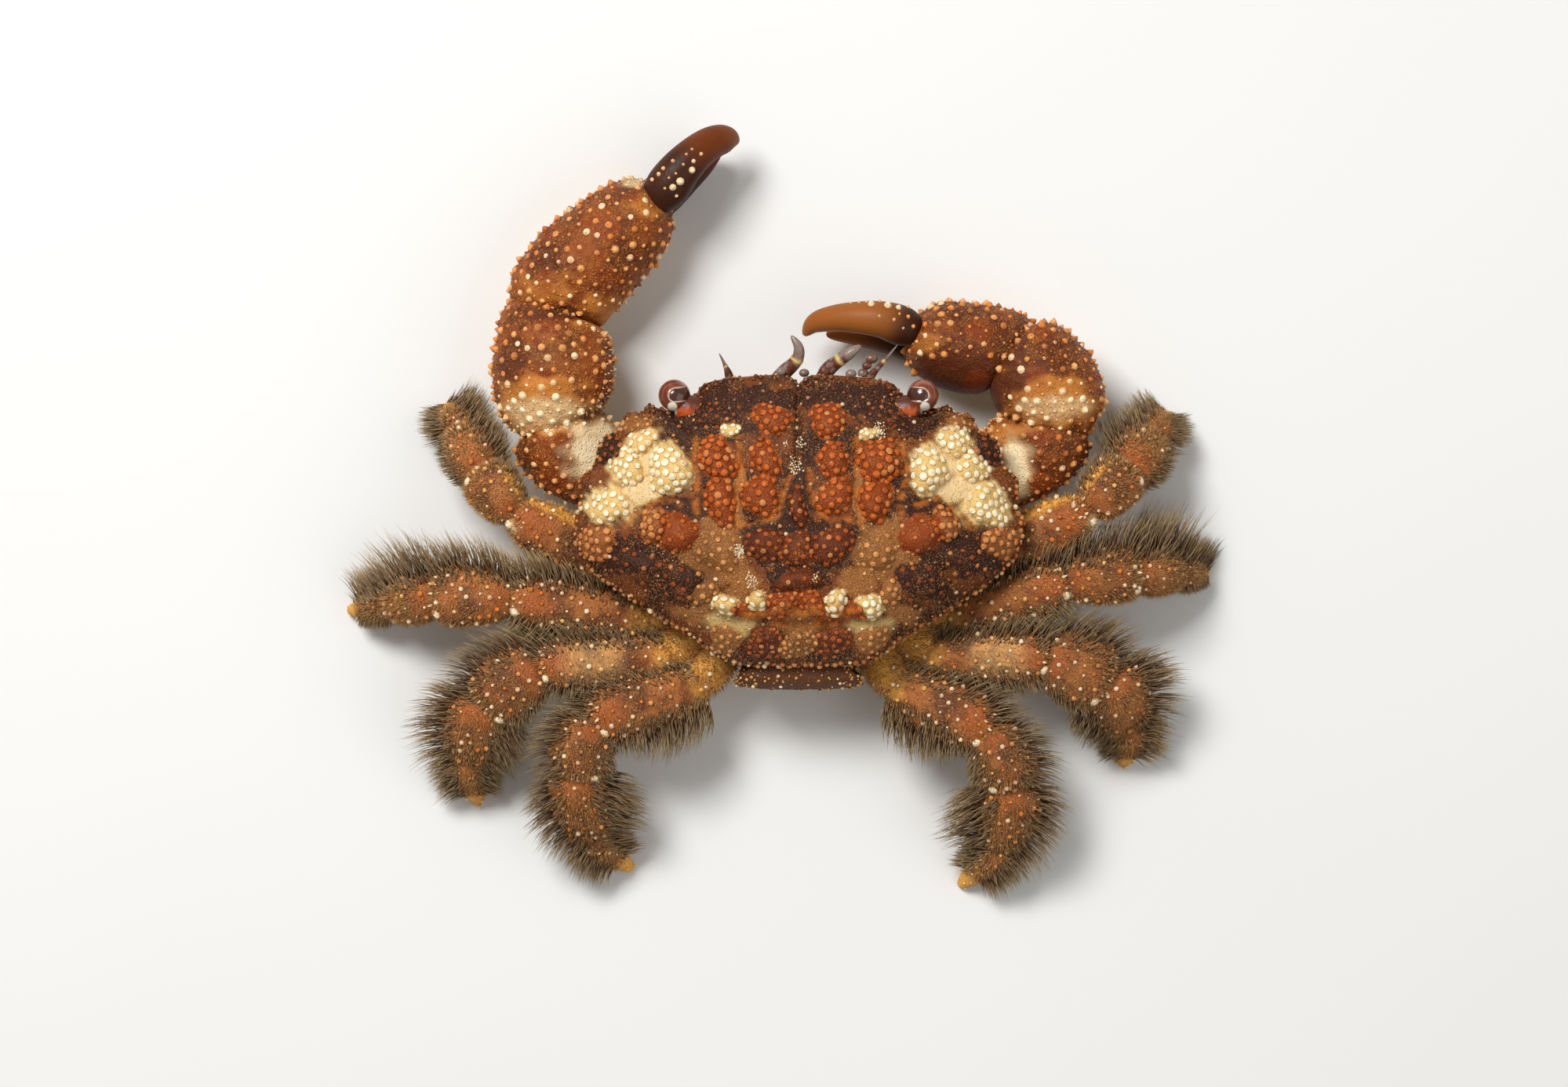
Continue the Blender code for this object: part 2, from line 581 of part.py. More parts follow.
def build_eye(side, sign, crab):
    """A round cornea and its stalk, with a gap between their faces."""
    eye = Vector((sign * EYE_CENTRE.x, EYE_CENTRE.y, EYE_CENTRE.z))
    root = Vector((sign * STALK_ROOT.x, STALK_ROOT.y, STALK_ROOT.z))
    run = (eye - root).normalized()
    seam = eye - run * EYE_RADIUS * CORNEA_SEAM_SHARE
    bm = bmesh.new()
    bmesh.ops.create_uvsphere(bm, u_segments=14, v_segments=9, radius=EYE_RADIUS)
    bmesh.ops.translate(bm, verts=bm.verts[:], vec=eye)
    cut_flat(bm, seam + run * HALF_GAP, -run)
    new_object(f"eye_{side}", bm, crab, "cornea")
    steps = []
    for share, radius in STALK_PROFILE:
        centre = root.lerp(seam - run * HALF_GAP, share)
        steps.append((centre.x, centre.y, centre.z, radius * STALK_RADIUS, radius * STALK_RADIUS))
    bm = bmesh.new()
    loft(bm, limb_rings(sections_along(steps), FINGER_SIDES))
    new_object(f"eyestalk_{side}", bm, crab, "stalk")


def build_feelers(crab):
    """The antennules and antennae that stand out from under the front margin."""
    for kind, pairs in (("antennule", ANTENNULES), ("antenna", ANTENNAE)):
        for side, knots in pairs.items():
            steps = [(x, y, z, radius, radius) for x, y, z, radius in knots]
            bm = bmesh.new()
            loft(bm, limb_rings(sections_along(steps), FEELER_SIDES))
            new_object(f"{kind}_{side}", bm, crab, "feeler")


def build_mouth(crab):
    """The pair of outer mouth plates that close the front of the underbody."""
    centre, half_width, half_depth, half_height = MOUTH_PLATE
    for side, sign in (("left", 1), ("right", -1)):
        bm = bmesh.new()
        bmesh.ops.create_cube(bm, size=2)
        bmesh.ops.subdivide_edges(bm, edges=bm.edges[:], cuts=2, use_grid_fill=True)
        for vertex in bm.verts:
            rounded = vertex.co.normalized() * MOUTH_ROUNDING + vertex.co * MOUTH_SQUARENESS
            taper = 1 - MOUTH_TAPER * rounded.z
            vertex.co = Vector((
                sign * centre.x + rounded.x * half_width * taper,
                centre.y + rounded.y * half_depth - rounded.z * half_height * MOUTH_SLOPE,
                centre.z + rounded.z * half_height,
            ))
        new_object(f"mouth_plate_{side}", bm, crab, "underside")


def leg_places(joints):
    """A leg's joints with their heights."""
    return [Vector((x, y, height)) for (x, y), height in zip(joints, LEG_HEIGHTS)]


def leg_sections(name, start, end, start_plane, end_plane):
    """Sections of one leg segment from joint to joint, each end flat and half a gap short of its joint."""
    heading = (end - start).normalized()
    near = start + heading * (HALF_GAP / heading.dot(start_plane))
    far = end - heading * (HALF_GAP / heading.dot(end_plane))
    half_width = LEG_HALF_WIDTHS[name]
    sections = []
    for share, breadth in SEGMENT_PROFILES[name]:
        plane = heading
        if share == 0:
            plane = start_plane
        elif share == 1:
            plane = end_plane
        wide = half_width * breadth
        sections.append(Section(near.lerp(far, share), heading, wide, wide * LEG_FLATNESS, plane))
    return sections


def dactyl_sections(start, end, start_plane):
    """Sections of a leg's last segment, arched down to a small flat on the floor."""
    middle = (start + end) / 2 + UP * DACTYL_ARCH
    near = start + start_plane * HALF_GAP
    places = []
    for share, breadth in SEGMENT_PROFILES["dactyl"]:
        point = near * (1 - share) ** 2 + middle * (2 * share * (1 - share)) + end * share ** 2
        places.append((point, breadth))
    sections = []
    for index, (point, breadth) in enumerate(places):
        before = places[max(index - 1, 0)][0]
        after = places[min(index + 1, len(places) - 1)][0]
        heading = (after - before).normalized()
        wide = LEG_HALF_WIDTHS["dactyl"] * breadth
        sections.append(Section(point, heading, wide, wide * DACTYL_FLATNESS, heading))
    sections[0].plane = start_plane
    sections[-1].plane = -UP
    sections[-1].half_width = TIP_FLAT
    sections[-1].half_height = TIP_FLAT
    return sections


def limb_at(sections, shares, share):
    """Centre and half width of a segment at a share of its length."""
    for near, far, start, end in zip(sections, sections[1:], shares, shares[1:]):
        if share <= end:
            part = (share - start) / (end - start)
            width = near.half_width + (far.half_width - near.half_width) * part
            return near.centre.lerp(far.centre, part), width
    return sections[-1].centre, sections[-1].half_width


def keep_between(point, walls):
    """A point moved clear of the joint planes that bound its segment, and of the floor."""
    for place, outward in walls:
        past = (point - place).dot(outward) + GAP
        if past > 0:
            point = point - outward * past
    point.z = max(point.z, FLOOR_CLEARANCE)
    return point


def lock_centre(root, outward, lie, length, share):
    """A place on a lock's middle line, which bends over along its lie."""
    return root + outward * length * share + lie * (LOCK_BEND * length * share ** 2)


def free_length(root, outward, lie, length, walls):
    """A lock's length, shortened until its tip is clear of every wall."""
    while length > 0:
        tip = lock_centre(root, outward, lie, length, 1)
        if all((tip - place).dot(away) < -GAP for place, away in walls):
            break
        length -= GAP
    return length


def lock_of_hairs(name, root, outward, lie, length, walls, crab):
    """One flat lock of hairs that tapers to its tip and bends over towards the leg's tip."""
    flat = outward.cross(lie).normalized()
    rings = []
    for share, breadth, depth in LOCK_PROFILE + ((1.0, LOCK_TIP_WIDTH, LOCK_TIP_WIDTH),):
        centre = lock_centre(root, outward, lie, length, share)
        heading = (outward + lie * 2 * LOCK_BEND * share).normalized()
        broad = flat.cross(heading) * LOCK_WIDTH * breadth / 2
        deep = flat * LOCK_THICKNESS * depth / 2
        ring = [centre + broad, centre + deep, centre - broad, centre - deep]
        rings.append([keep_between(corner, walls) for corner in ring])
    bm = bmesh.new()
    loft(bm, rings)
    return new_object(name, bm, crab)


def along_plane(plane, across):
    """The level direction that lies in a joint's plane, on the side of a margin."""
    direction = plane.cross(UP).normalized()
    return direction if direction.dot(across) > 0 else -direction


def fringe_of_locks(name, limb, margin, reach, span, walls, rng, crab):
    """Locks of hairs in tiers along one margin of a segment, which fan out from joint to joint."""
    sections, shares, planes = limb
    tiers, sign = margin
    run = sections[-1].centre - sections[0].centre
    across = Vector((run.y, -run.x, 0)).normalized() * sign
    near, far = (along_plane(plane, across) for plane in planes)
    lie = run.normalized()
    first, last = span
    count = max(1, round((last - first) * run.length / LOCK_SPACING))
    locks = []
    for tier, (tilt, fullness, offset) in enumerate(LOCK_TIERS[tiers]):
        if tier > 0 and reach < SECOND_TIER_REACH:
            continue
        for step in range(count):
            share = first + (last - first) * (step + (1 + 2 * offset) / 4) / count
            centre, width = limb_at(sections, shares, share)
            angle = math.radians(tilt + rng.uniform(-LOCK_SWAY, LOCK_SWAY))
            outward = near.lerp(far, share).normalized() * math.cos(angle) + UP * math.sin(angle)
            surface = width * math.hypot(math.cos(angle), LEG_FLATNESS * math.sin(angle))
            root = centre + outward * (surface - LOCK_SINK)
            wanted = LOCK_SINK + reach * fullness * rng.uniform(*LOCK_VARIETY)
            length = free_length(root, outward, lie, wanted, walls)
            if length > SHORTEST_LOCK:
                lock_name = f"{name}_{sign}_{tier}_{step}"
                locks.append(lock_of_hairs(lock_name, root, outward, lie, length, walls, crab))
    return locks


def wall_between(joints, neighbour):
    """The upright plane halfway between the first segments of two legs, facing the neighbour."""
    root, knee = ((Vector(near) + Vector(far)) / 2 for near, far in zip(joints[:2], neighbour[:2]))
    run = (knee - root).normalized()
    away = Vector((-run.y, run.x, 0))
    if away.dot(Vector((*neighbour[1], 0)) - Vector((*joints[1], 0))) < 0:
        away = -away
    return Vector((*root, 0)) + away * HALF_GAP, away


def build_leg(leg, side, joints, crab):
    """A walking leg of four segments, fringed along its margins, standing on its own tip."""
    rng = random.Random(f"{leg} {side}")
    places = leg_places(joints)
    headings = [(end - start).normalized() for start, end in zip(places, places[1:])]
    planes = [headings[0]]
    planes += [(upper + lower).normalized() for upper, lower in zip(headings, headings[1:])]
    planes.append(headings[-1])
    number = int(leg[-1])
    before, behind = (LEG_JOINTS.get((f"leg{other}", side)) for other in (number - 1, number + 1))
    front_sign = 1 if side == "left" else -1
    for index, segment in enumerate(SEGMENTS):
        near, far = places[index:index + 2]
        bounds = planes[index:index + 2]
        walls = [(near, -bounds[0])]
        if segment == "dactyl":
            sections = dactyl_sections(near, far, bounds[0])
        else:
            sections = leg_sections(segment, near, far, *bounds)
            walls.append((far, bounds[1]))
        if before and segment in ("merus", "carpus"):
            walls.append(wall_between(joints, before))
        if behind and segment == "merus":
            walls.append(wall_between(joints, behind))
        bm = bmesh.new()
        loft(bm, limb_rings(sections, LEG_SIDES))
        body = new_object(f"{leg}_{side}_{segment}", bm, crab, "leg")
        limb = (sections, [share for share, breadth in SEGMENT_PROFILES[segment]], bounds)
        first, last = LOCK_SPANS[segment]
        if segment == "merus":
            first = MERUS_BARE_SHARE[leg]
        locks = []
        for margin, sign in (("front", front_sign), ("rear", -front_sign)):
            reach = FRINGES[leg, side][margin][index]
            if reach > 0:
                locks += fringe_of_locks(
                    body.name, limb, (margin, sign), reach, (first, last), walls, rng, crab)
        if locks:
            join_pieces(body, locks)


def raise_tubercles(bm, bands, rng, lowest=-0.25, inset=TUBERCLE_INSET):
    """Raises a blunt cone on most faces of a limb, apart from small ones and those turned to the floor."""
    bmesh.ops.recalc_face_normals(bm, faces=bm.faces[:])
    chosen = []
    for band in bands:
        for face in band:
            if not face.is_valid or len(face.verts) != 4:
                continue
            narrowest = min(edge.calc_length() for edge in face.edges)
            roomy = narrowest > inset * TUBERCLE_ROOM
            if roomy and face.normal.z > lowest and rng.random() < TUBERCLE_SHARE:
                chosen.append(face)
    bmesh.ops.inset_individual(bm, faces=chosen, thickness=inset, use_even_offset=True)
    peaks = bmesh.ops.poke(bm, faces=chosen, offset=TUBERCLE_HEIGHT)["verts"]
    for peak in peaks:
        centre = sum((edge.other_vert(peak).co for edge in peak.link_edges), Vector()) / len(peak.link_edges)
        peak.co = centre + (peak.co - centre) * rng.uniform(*TUBERCLE_VARIETY)


def claw_planes(side):
    """The flat planes at a claw's elbow and wrist, each halfway between the headings that it joins."""
    root, elbow, wrist, knuckle = (Vector((x, y, 0)) for x, y in CLAW_JOINTS[side])
    merus = (elbow - root).normalized()
    carpus = (wrist - elbow).normalized()
    palm = (knuckle - wrist).normalized()
    return (elbow, (merus + carpus).normalized()), (wrist, (carpus + palm).normalized())


def build_claw(side, crab):
    """A claw-bearing leg: upper arm, wrist, hand with its fixed finger, and the movable finger."""
    rng = random.Random(11 if side == "left" else 12)
    (elbow, elbow_plane), (wrist, wrist_plane) = claw_planes(side)

    bm = bmesh.new()
    sections = sections_along(CLAW_MERUS[side])
    sections[0].centre = sections[0].centre + sections[0].heading * HALF_GAP
    bands = loft(bm, limb_rings(sections, CLAW_MERUS_SIDES))
    bm.normal_update()
    cut_flat(bm, elbow - elbow_plane * HALF_GAP, elbow_plane)
    raise_tubercles(bm, bands[2:3], rng, lowest=0.2)
    new_object(f"claw_{side}_merus", bm, crab, "claw")

    bm = bmesh.new()
    bands = loft(bm, limb_rings(sections_along(CLAW_CARPUS[side]), CLAW_SIDES))
    cut_flat(bm, elbow + elbow_plane * HALF_GAP, -elbow_plane)
    cut_flat(bm, wrist - wrist_plane * HALF_GAP, wrist_plane)
    raise_tubercles(bm, bands, rng)
    new_object(f"claw_{side}_carpus", bm, crab, "claw")

    bm = bmesh.new()
    bands = loft(bm, limb_rings(sections_along(CLAW_PALM[side]), CLAW_SIDES))
    cut_flat(bm, wrist + wrist_plane * HALF_GAP, -wrist_plane)
    cut_flat(bm, Vector((0, 0, 0)), -UP)
    raise_tubercles(bm, bands[:-1], rng)
    palm = new_object(f"claw_{side}_palm", bm, crab, "claw")
    bm = bmesh.new()
    loft(bm, limb_rings(sections_along(FIXED_FINGER[side]), FINGER_SIDES))
    join_pieces(palm, [new_object(f"claw_{side}_fixed_finger", bm, crab)])

    bm = bmesh.new()
    bands = loft(bm, limb_rings(sections_along(CLAW_DACTYL[side]), FINGER_SIDES))
    raise_tubercles(bm, bands[:1], rng, lowest=0.3, inset=FINGER_TUBERCLE_INSET)
    new_object(f"claw_{side}_dactyl", bm, crab, "finger")


def build_crab():
    """Builds every piece of the crab in its own named object."""
    for leftover in list(bpy.data.objects):
        bpy.data.objects.remove(leftover)
    crab = new_collection("crab")
    cutters = new_collection("cutters")
    build_carapace(crab, cutters)
    build_underbody(crab)
    build_pleon(crab)
    for side, sign in (("left", 1), ("right", -1)):
        build_eye(side, sign, crab)
    build_feelers(crab)
    build_mouth(crab)
    for side in CLAW_JOINTS:
        build_claw(side, crab)
    for (leg, side), joints in LEG_JOINTS.items():
        build_leg(leg, side, joints, crab)


build_crab()
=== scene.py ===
"""The looks of a small granular reef crab: a still, life-size display model, seen from straight above.

Shapes are worked out in millimetres from the middle of the carapace: +X is the crab's own left, -Y its front
and +Z up, with the floor at zero. They become metres in the CAD's frame when a piece is finished.
"""

from __future__ import annotations

import logging
import math
from dataclasses import dataclass, field, replace
from enum import Enum
from typing import Sequence

import bmesh
import bpy
import numpy as np
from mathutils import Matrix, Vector
from mathutils.kdtree import KDTree

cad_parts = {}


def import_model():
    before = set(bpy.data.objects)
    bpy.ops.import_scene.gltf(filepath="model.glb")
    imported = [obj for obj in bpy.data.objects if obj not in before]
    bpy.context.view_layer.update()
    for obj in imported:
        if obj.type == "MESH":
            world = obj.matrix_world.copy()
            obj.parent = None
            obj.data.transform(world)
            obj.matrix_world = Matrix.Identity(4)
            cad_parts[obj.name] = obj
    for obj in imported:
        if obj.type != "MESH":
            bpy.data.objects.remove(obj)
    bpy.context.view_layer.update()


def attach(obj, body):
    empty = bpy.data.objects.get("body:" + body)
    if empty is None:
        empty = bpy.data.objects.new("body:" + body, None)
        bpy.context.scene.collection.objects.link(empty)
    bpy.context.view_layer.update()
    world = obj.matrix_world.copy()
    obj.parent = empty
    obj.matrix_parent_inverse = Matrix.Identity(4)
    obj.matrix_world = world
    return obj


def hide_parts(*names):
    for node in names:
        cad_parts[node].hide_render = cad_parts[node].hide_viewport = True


LOG = logging.getLogger("crab")

MM = 0.001
REACH_CENTRE = np.array((1.01, -0.635, 0.0))
UP = np.array((0.0, 0.0, 1.0))
PHOTO_WIDTH = 1999
PHOTO_HEIGHT = 1386
PIXELS_PER_MM = 23.75
PHOTO_ORIGIN = (1018.0, 665.0)
TUFT_PATCH = 0.003
LEAST_SHADE = 0.3

# Short names for the types that many functions take.
Array = np.ndarray
Chance = np.random.Generator
Material = bpy.types.Material
Mesh = bpy.types.Mesh
Socket = bpy.types.NodeSocket
Colour = tuple[int, int, int]
Row = tuple[float, ...]
Rows = tuple[Row, ...]
Planes = tuple[tuple[Array, Array], ...]


def srgb(red: int, green: int, blue: int) -> tuple[float, float, float, float]:
    """Turns a colour as the eye reads it off a screen into the linear one that a shader takes.

    Args:
        red: Red, from 0 to 255.
        green: Green, from 0 to 255.
        blue: Blue, from 0 to 255.

    Returns:
        The linear colour with full opacity.
    """
    linear = []
    for channel in (red, green, blue):
        value = channel / 255
        linear.append(value / 12.92 if value <= 0.04045 else ((value + 0.055) / 1.055) ** 2.4)
    return (*linear, 1.0)


def ease(value: Array, low: float, high: float) -> Array:
    """Runs smoothly from 0 at low to 1 at high; high may lie below low."""
    share = np.clip((value - low) / (high - low), 0, 1)
    return share * share * (3 - 2 * share)


def unit(vectors: Array) -> Array:
    """Scales each row to length one."""
    length = np.linalg.norm(vectors, axis=-1, keepdims=True)
    return vectors / np.maximum(length, 1e-12)


def metres(points: Array) -> Array:
    """Turns places in millimetres about the carapace into metres in the CAD's frame."""
    return (np.asarray(points, float) - REACH_CENTRE) * MM


def columns(*parts: Array | float) -> Array:
    """Sets arrays or single values side by side, a column each."""
    return np.stack(np.broadcast_arrays(*parts), axis=1)


def shaded(dusk: Array) -> Array:
    """Values of chance that a crust draws the darker, the more dusk there is."""
    return LEAST_SHADE + (1 - LEAST_SHADE) * dusk


def smooth_steps(steps: Sequence[Sequence[float]], count: int) -> Array:
    """Samples a smooth curve through steps, evenly along its length.

    Args:
        steps: Rows that start with x, y and z, and may hold more values that vary along the curve.
        count: How many samples.

    Returns:
        One row for each sample.
    """
    knots = np.array(steps, float)
    lengths = np.linalg.norm(np.diff(knots[:, :3], axis=0), axis=1)
    reach = np.concatenate(([0.0], np.cumsum(lengths)))
    place = np.interp(np.linspace(0, reach[-1], count), reach, np.arange(len(knots)))
    index = np.clip(place.astype(int), 0, len(knots) - 2)
    part = (place - index)[:, None]
    padded = np.vstack((2 * knots[0] - knots[1], knots, 2 * knots[-1] - knots[-2]))
    before, start, end, after = (padded[index + offset] for offset in range(4))
    return 0.5 * (
        2 * start
        + (end - before) * part
        + (2 * before - 5 * start + 4 * end - after) * part ** 2
        + (3 * start - before - 3 * end + after) * part ** 3
    )


def sample(rows: Array, share: Array) -> Array:
    """Reads rows that are spread evenly from 0 to 1 at the given shares, a row for each."""
    stations = np.linspace(0, 1, len(rows))
    return np.stack([np.interp(share, stations, column) for column in rows.T], axis=1)


def new_object(name: str, data: bpy.types.ID) -> bpy.types.Object:
    """Makes an object at the origin and links it to the scene."""
    thing = bpy.data.objects.new(name, data)
    bpy.context.scene.collection.objects.link(thing)
    return thing


def paint(mesh: Mesh, **masks: Array) -> None:
    """Stores masks at each vertex of a mesh, for its material to read.

    Args:
        mesh: The mesh.
        masks: One row of three masks for each vertex, under the attribute's name.
    """
    for attribute, values in masks.items():
        colours = np.ones((len(values), 4), np.float32)
        colours[:, :3] = values
        layer = mesh.attributes.new(attribute, "FLOAT_COLOR", "POINT")
        layer.data.foreach_set("color", colours.ravel())


class Slot(Enum):
    """The material slots, by name."""

    SHELL = "shell"
    CLAW = "claw"
    FINGER = "finger"
    LEG = "leg"
    UNDERSIDE = "underside"
    CORNEA = "cornea"
    EYESTALK = "eyestalk"
    FEELER = "feeler"


def tie(name: str, mesh: Mesh, material: Material, nodes: Sequence[str] = ()) -> None:
    """Makes the object of a finished mesh and ties it to the frame.

    Args:
        name: The object's name.
        mesh: The mesh, in metres.
        material: Its finish.
        nodes: The CAD nodes that it stands for.
    """
    mesh.shade_smooth()
    mesh.materials.append(material)
    piece = new_object(name, mesh)
    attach(piece, "root")
    if nodes:
        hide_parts(*nodes)
    LOG.info("%s: %d faces", name, len(mesh.polygons))


class Workpiece:
    """A mesh under construction, in millimetres, with its vertices as an array."""

    def __init__(self, name: str, bm: bmesh.types.BMesh) -> None:
        """Takes over a bmesh and frees it.

        Args:
            name: The finished piece's name.
            bm: The bmesh that holds the shape.
        """
        self.name = name
        self.mesh = bpy.data.meshes.new(name)
        bm.to_mesh(self.mesh)
        bm.free()
        self.points = self.read(self.mesh.vertices, "co")

    def read(self, source: bpy.types.bpy_prop_collection, field_name: str) -> Array:
        """Reads three values for each vertex, one row each."""
        flat = np.empty(len(self.mesh.vertices) * 3, np.float32)
        source.foreach_get(field_name, flat)
        return flat.reshape(-1, 3).astype(float)

    def write_points(self) -> None:
        """Puts the array of vertices back into the mesh."""
        self.mesh.vertices.foreach_set("co", self.points.astype(np.float32).ravel())
        self.mesh.update()

    def normals(self) -> Array:
        """The normal at each vertex."""
        self.write_points()
        return self.read(self.mesh.vertex_normals, "vector")

    def press(self, point: Sequence[float], outward: Array, softness: float) -> None:
        """Presses what lies beyond a plane back onto it, with a rounded edge.

        Args:
            point: A point of the plane.
            outward: The plane's unit normal, towards the side that is pressed.
            softness: How rounded the edge is.
        """
        beyond = (self.points - np.asarray(point)) @ outward
        pressed = -softness * np.logaddexp(0, -beyond / softness)
        self.points += outward * (pressed - beyond)[:, None]

    def finish(self, material: Material, slot: Slot, nodes: Sequence[str] = (), **masks: Array) -> None:
        """Paints the mesh, turns it into metres and makes its object.

        Args:
            material: The piece's finish.
            slot: Not used.
            nodes: The CAD nodes that it stands for.
            masks: Masks for the material to read, under the attribute's name.
        """
        self.points = metres(self.points)
        self.write_points()
        paint(self.mesh, **masks)
        tie(self.name, self.mesh, material, nodes)


@dataclass
class Template:
    """A small closed shape that is copied many times: its points and its triangles."""

    points: Array
    triangles: Array

    @classmethod
    def from_bmesh(cls, bm: bmesh.types.BMesh) -> Template:
        """Reads a template off a bmesh and frees it."""
        bmesh.ops.triangulate(bm, faces=bm.faces[:])
        bm.verts.index_update()
        points = np.array([vertex.co[:] for vertex in bm.verts])
        triangles = np.array([[vertex.index for vertex in face.verts] for face in bm.faces])
        bm.free()
        return cls(points, triangles)

    @staticmethod
    def cut(bm: bmesh.types.BMesh, height: float, **ways: object) -> None:
        """Cuts a bmesh level at a height, in the given way."""
        everything = bm.verts[:] + bm.edges[:] + bm.faces[:]
        bmesh.ops.bisect_plane(bm, geom=everything, plane_co=(0, 0, height), **ways)

    @classmethod
    def bead(cls, detail: int) -> Template:
        """A round bead of radius one, cut flat a little below its middle."""
        bm = bmesh.new()
        bmesh.ops.create_icosphere(bm, subdivisions=detail, radius=1)
        cls.cut(bm, -0.3, plane_no=(0, 0, -1), clear_outer=True)
        bmesh.ops.edgeloop_fill(bm, edges=[edge for edge in bm.edges if edge.is_boundary])
        bmesh.ops.recalc_face_normals(bm, faces=bm.faces[:])
        return cls.from_bmesh(bm)

    @classmethod
    def cone(cls) -> Template:
        """A blunt cone of radius one and height one, with hollowed flanks and a round tip."""
        bm = bmesh.new()
        bmesh.ops.create_uvsphere(bm, u_segments=8, v_segments=7, radius=1)
        for vertex in bm.verts:
            rise = (vertex.co.z + 1) / 2
            spread = max(0.0, 1 - rise ** 1.5) ** 0.75
            if abs(vertex.co.z) < 0.999:
                vertex.co.x, vertex.co.y = Vector((vertex.co.x, vertex.co.y)).normalized() * spread
            vertex.co.z = rise * 1.05
        return cls.from_bmesh(bm)

    @classmethod
    def hair(cls, bands: int) -> Template:
        """A three-sided, tapered hair of radius one and length one, in bands, rooted at the origin."""
        bm = bmesh.new()
        bmesh.ops.create_cone(bm, cap_ends=True, segments=3, radius1=1, radius2=0.0, depth=1)
        bmesh.ops.translate(bm, verts=bm.verts[:], vec=(0, 0, 0.5))
        bmesh.ops.remove_doubles(bm, verts=bm.verts[:], dist=1e-4)
        for band in range(1, bands):
            cls.cut(bm, band / bands, plane_no=(0, 0, 1))
        for vertex in bm.verts:
            fullness = 1 + 0.9 * vertex.co.z
            vertex.co.x *= fullness
            vertex.co.y *= fullness
        return cls.from_bmesh(bm)


@dataclass
class Ground:
    """Places on a surface: points, the ways things stand there, spots on the map, and a source of chance."""

    points: Array
    normals: Array
    spots: Array
    rng: Chance | None = None

    def __len__(self) -> int:
        """How many places."""
        return len(self.points)

    def at(self, chosen: Array) -> Ground:
        """The chosen places only."""
        return Ground(self.points[chosen], self.normals[chosen], self.spots[chosen], self.rng)

    def leaning(self, lean: Array, sunk: float = 0.0) -> Ground:
        """The same places with other directions, sunk a little along them."""
        return replace(self, points=self.points - lean * sunk, normals=lean)

    def scatter(self, allowed: Array, spacing: float) -> tuple[Array, Ground]:
        """Picks places at random that stay a spacing apart.

        Args:
            allowed: Which places may be picked.
            spacing: The least distance between two picks.

        Returns:
            The picked places' numbers, and the places.
        """
        cells: dict[tuple[int, int, int], list[Array]] = {}
        picked = []
        for index in self.rng.permutation(np.flatnonzero(allowed)):
            place = self.points[index]
            cell = tuple(int(value) for value in np.floor(place / spacing))
            near = (
                other
                for dx in (-1, 0, 1)
                for dy in (-1, 0, 1)
                for dz in (-1, 0, 1)
                for other in cells.get((cell[0] + dx, cell[1] + dy, cell[2] + dz), ())
            )
            if all(((place - other) ** 2).sum() >= spacing * spacing for other in near):
                cells.setdefault(cell, []).append(place)
                picked.append(index)
        chosen = np.array(picked, int)
        return chosen, self.at(chosen)

    def sow(self, allowed: Array, count: int, spread: float) -> tuple[Array, Ground]:
        """Picks places at random, again and again, and shifts each pick a little along the surface.

        Args:
            allowed: Which places may be picked.
            count: How many picks.
            spread: How far a pick may shift.

        Returns:
            The picked places' numbers, and the shifted places.
        """
        chosen = self.rng.choice(np.flatnonzero(allowed), count)
        places = self.at(chosen)
        shift = self.rng.normal(0, spread, (count, 3))
        shift -= places.normals * (shift * places.normals).sum(axis=1, keepdims=True)
        return chosen, replace(places, points=places.points + shift)


@dataclass(frozen=True)
class Pile:
    """How one kind of hair grows, with its sizes in millimetres."""

    bands: int
    width: float
    bend: tuple[float, float]
    lie_strays: float
    root_strays: float
    lengths: tuple[float, float] = (0.08, 0.2)
    golden: float = 0.0
    lowest: float = -math.inf


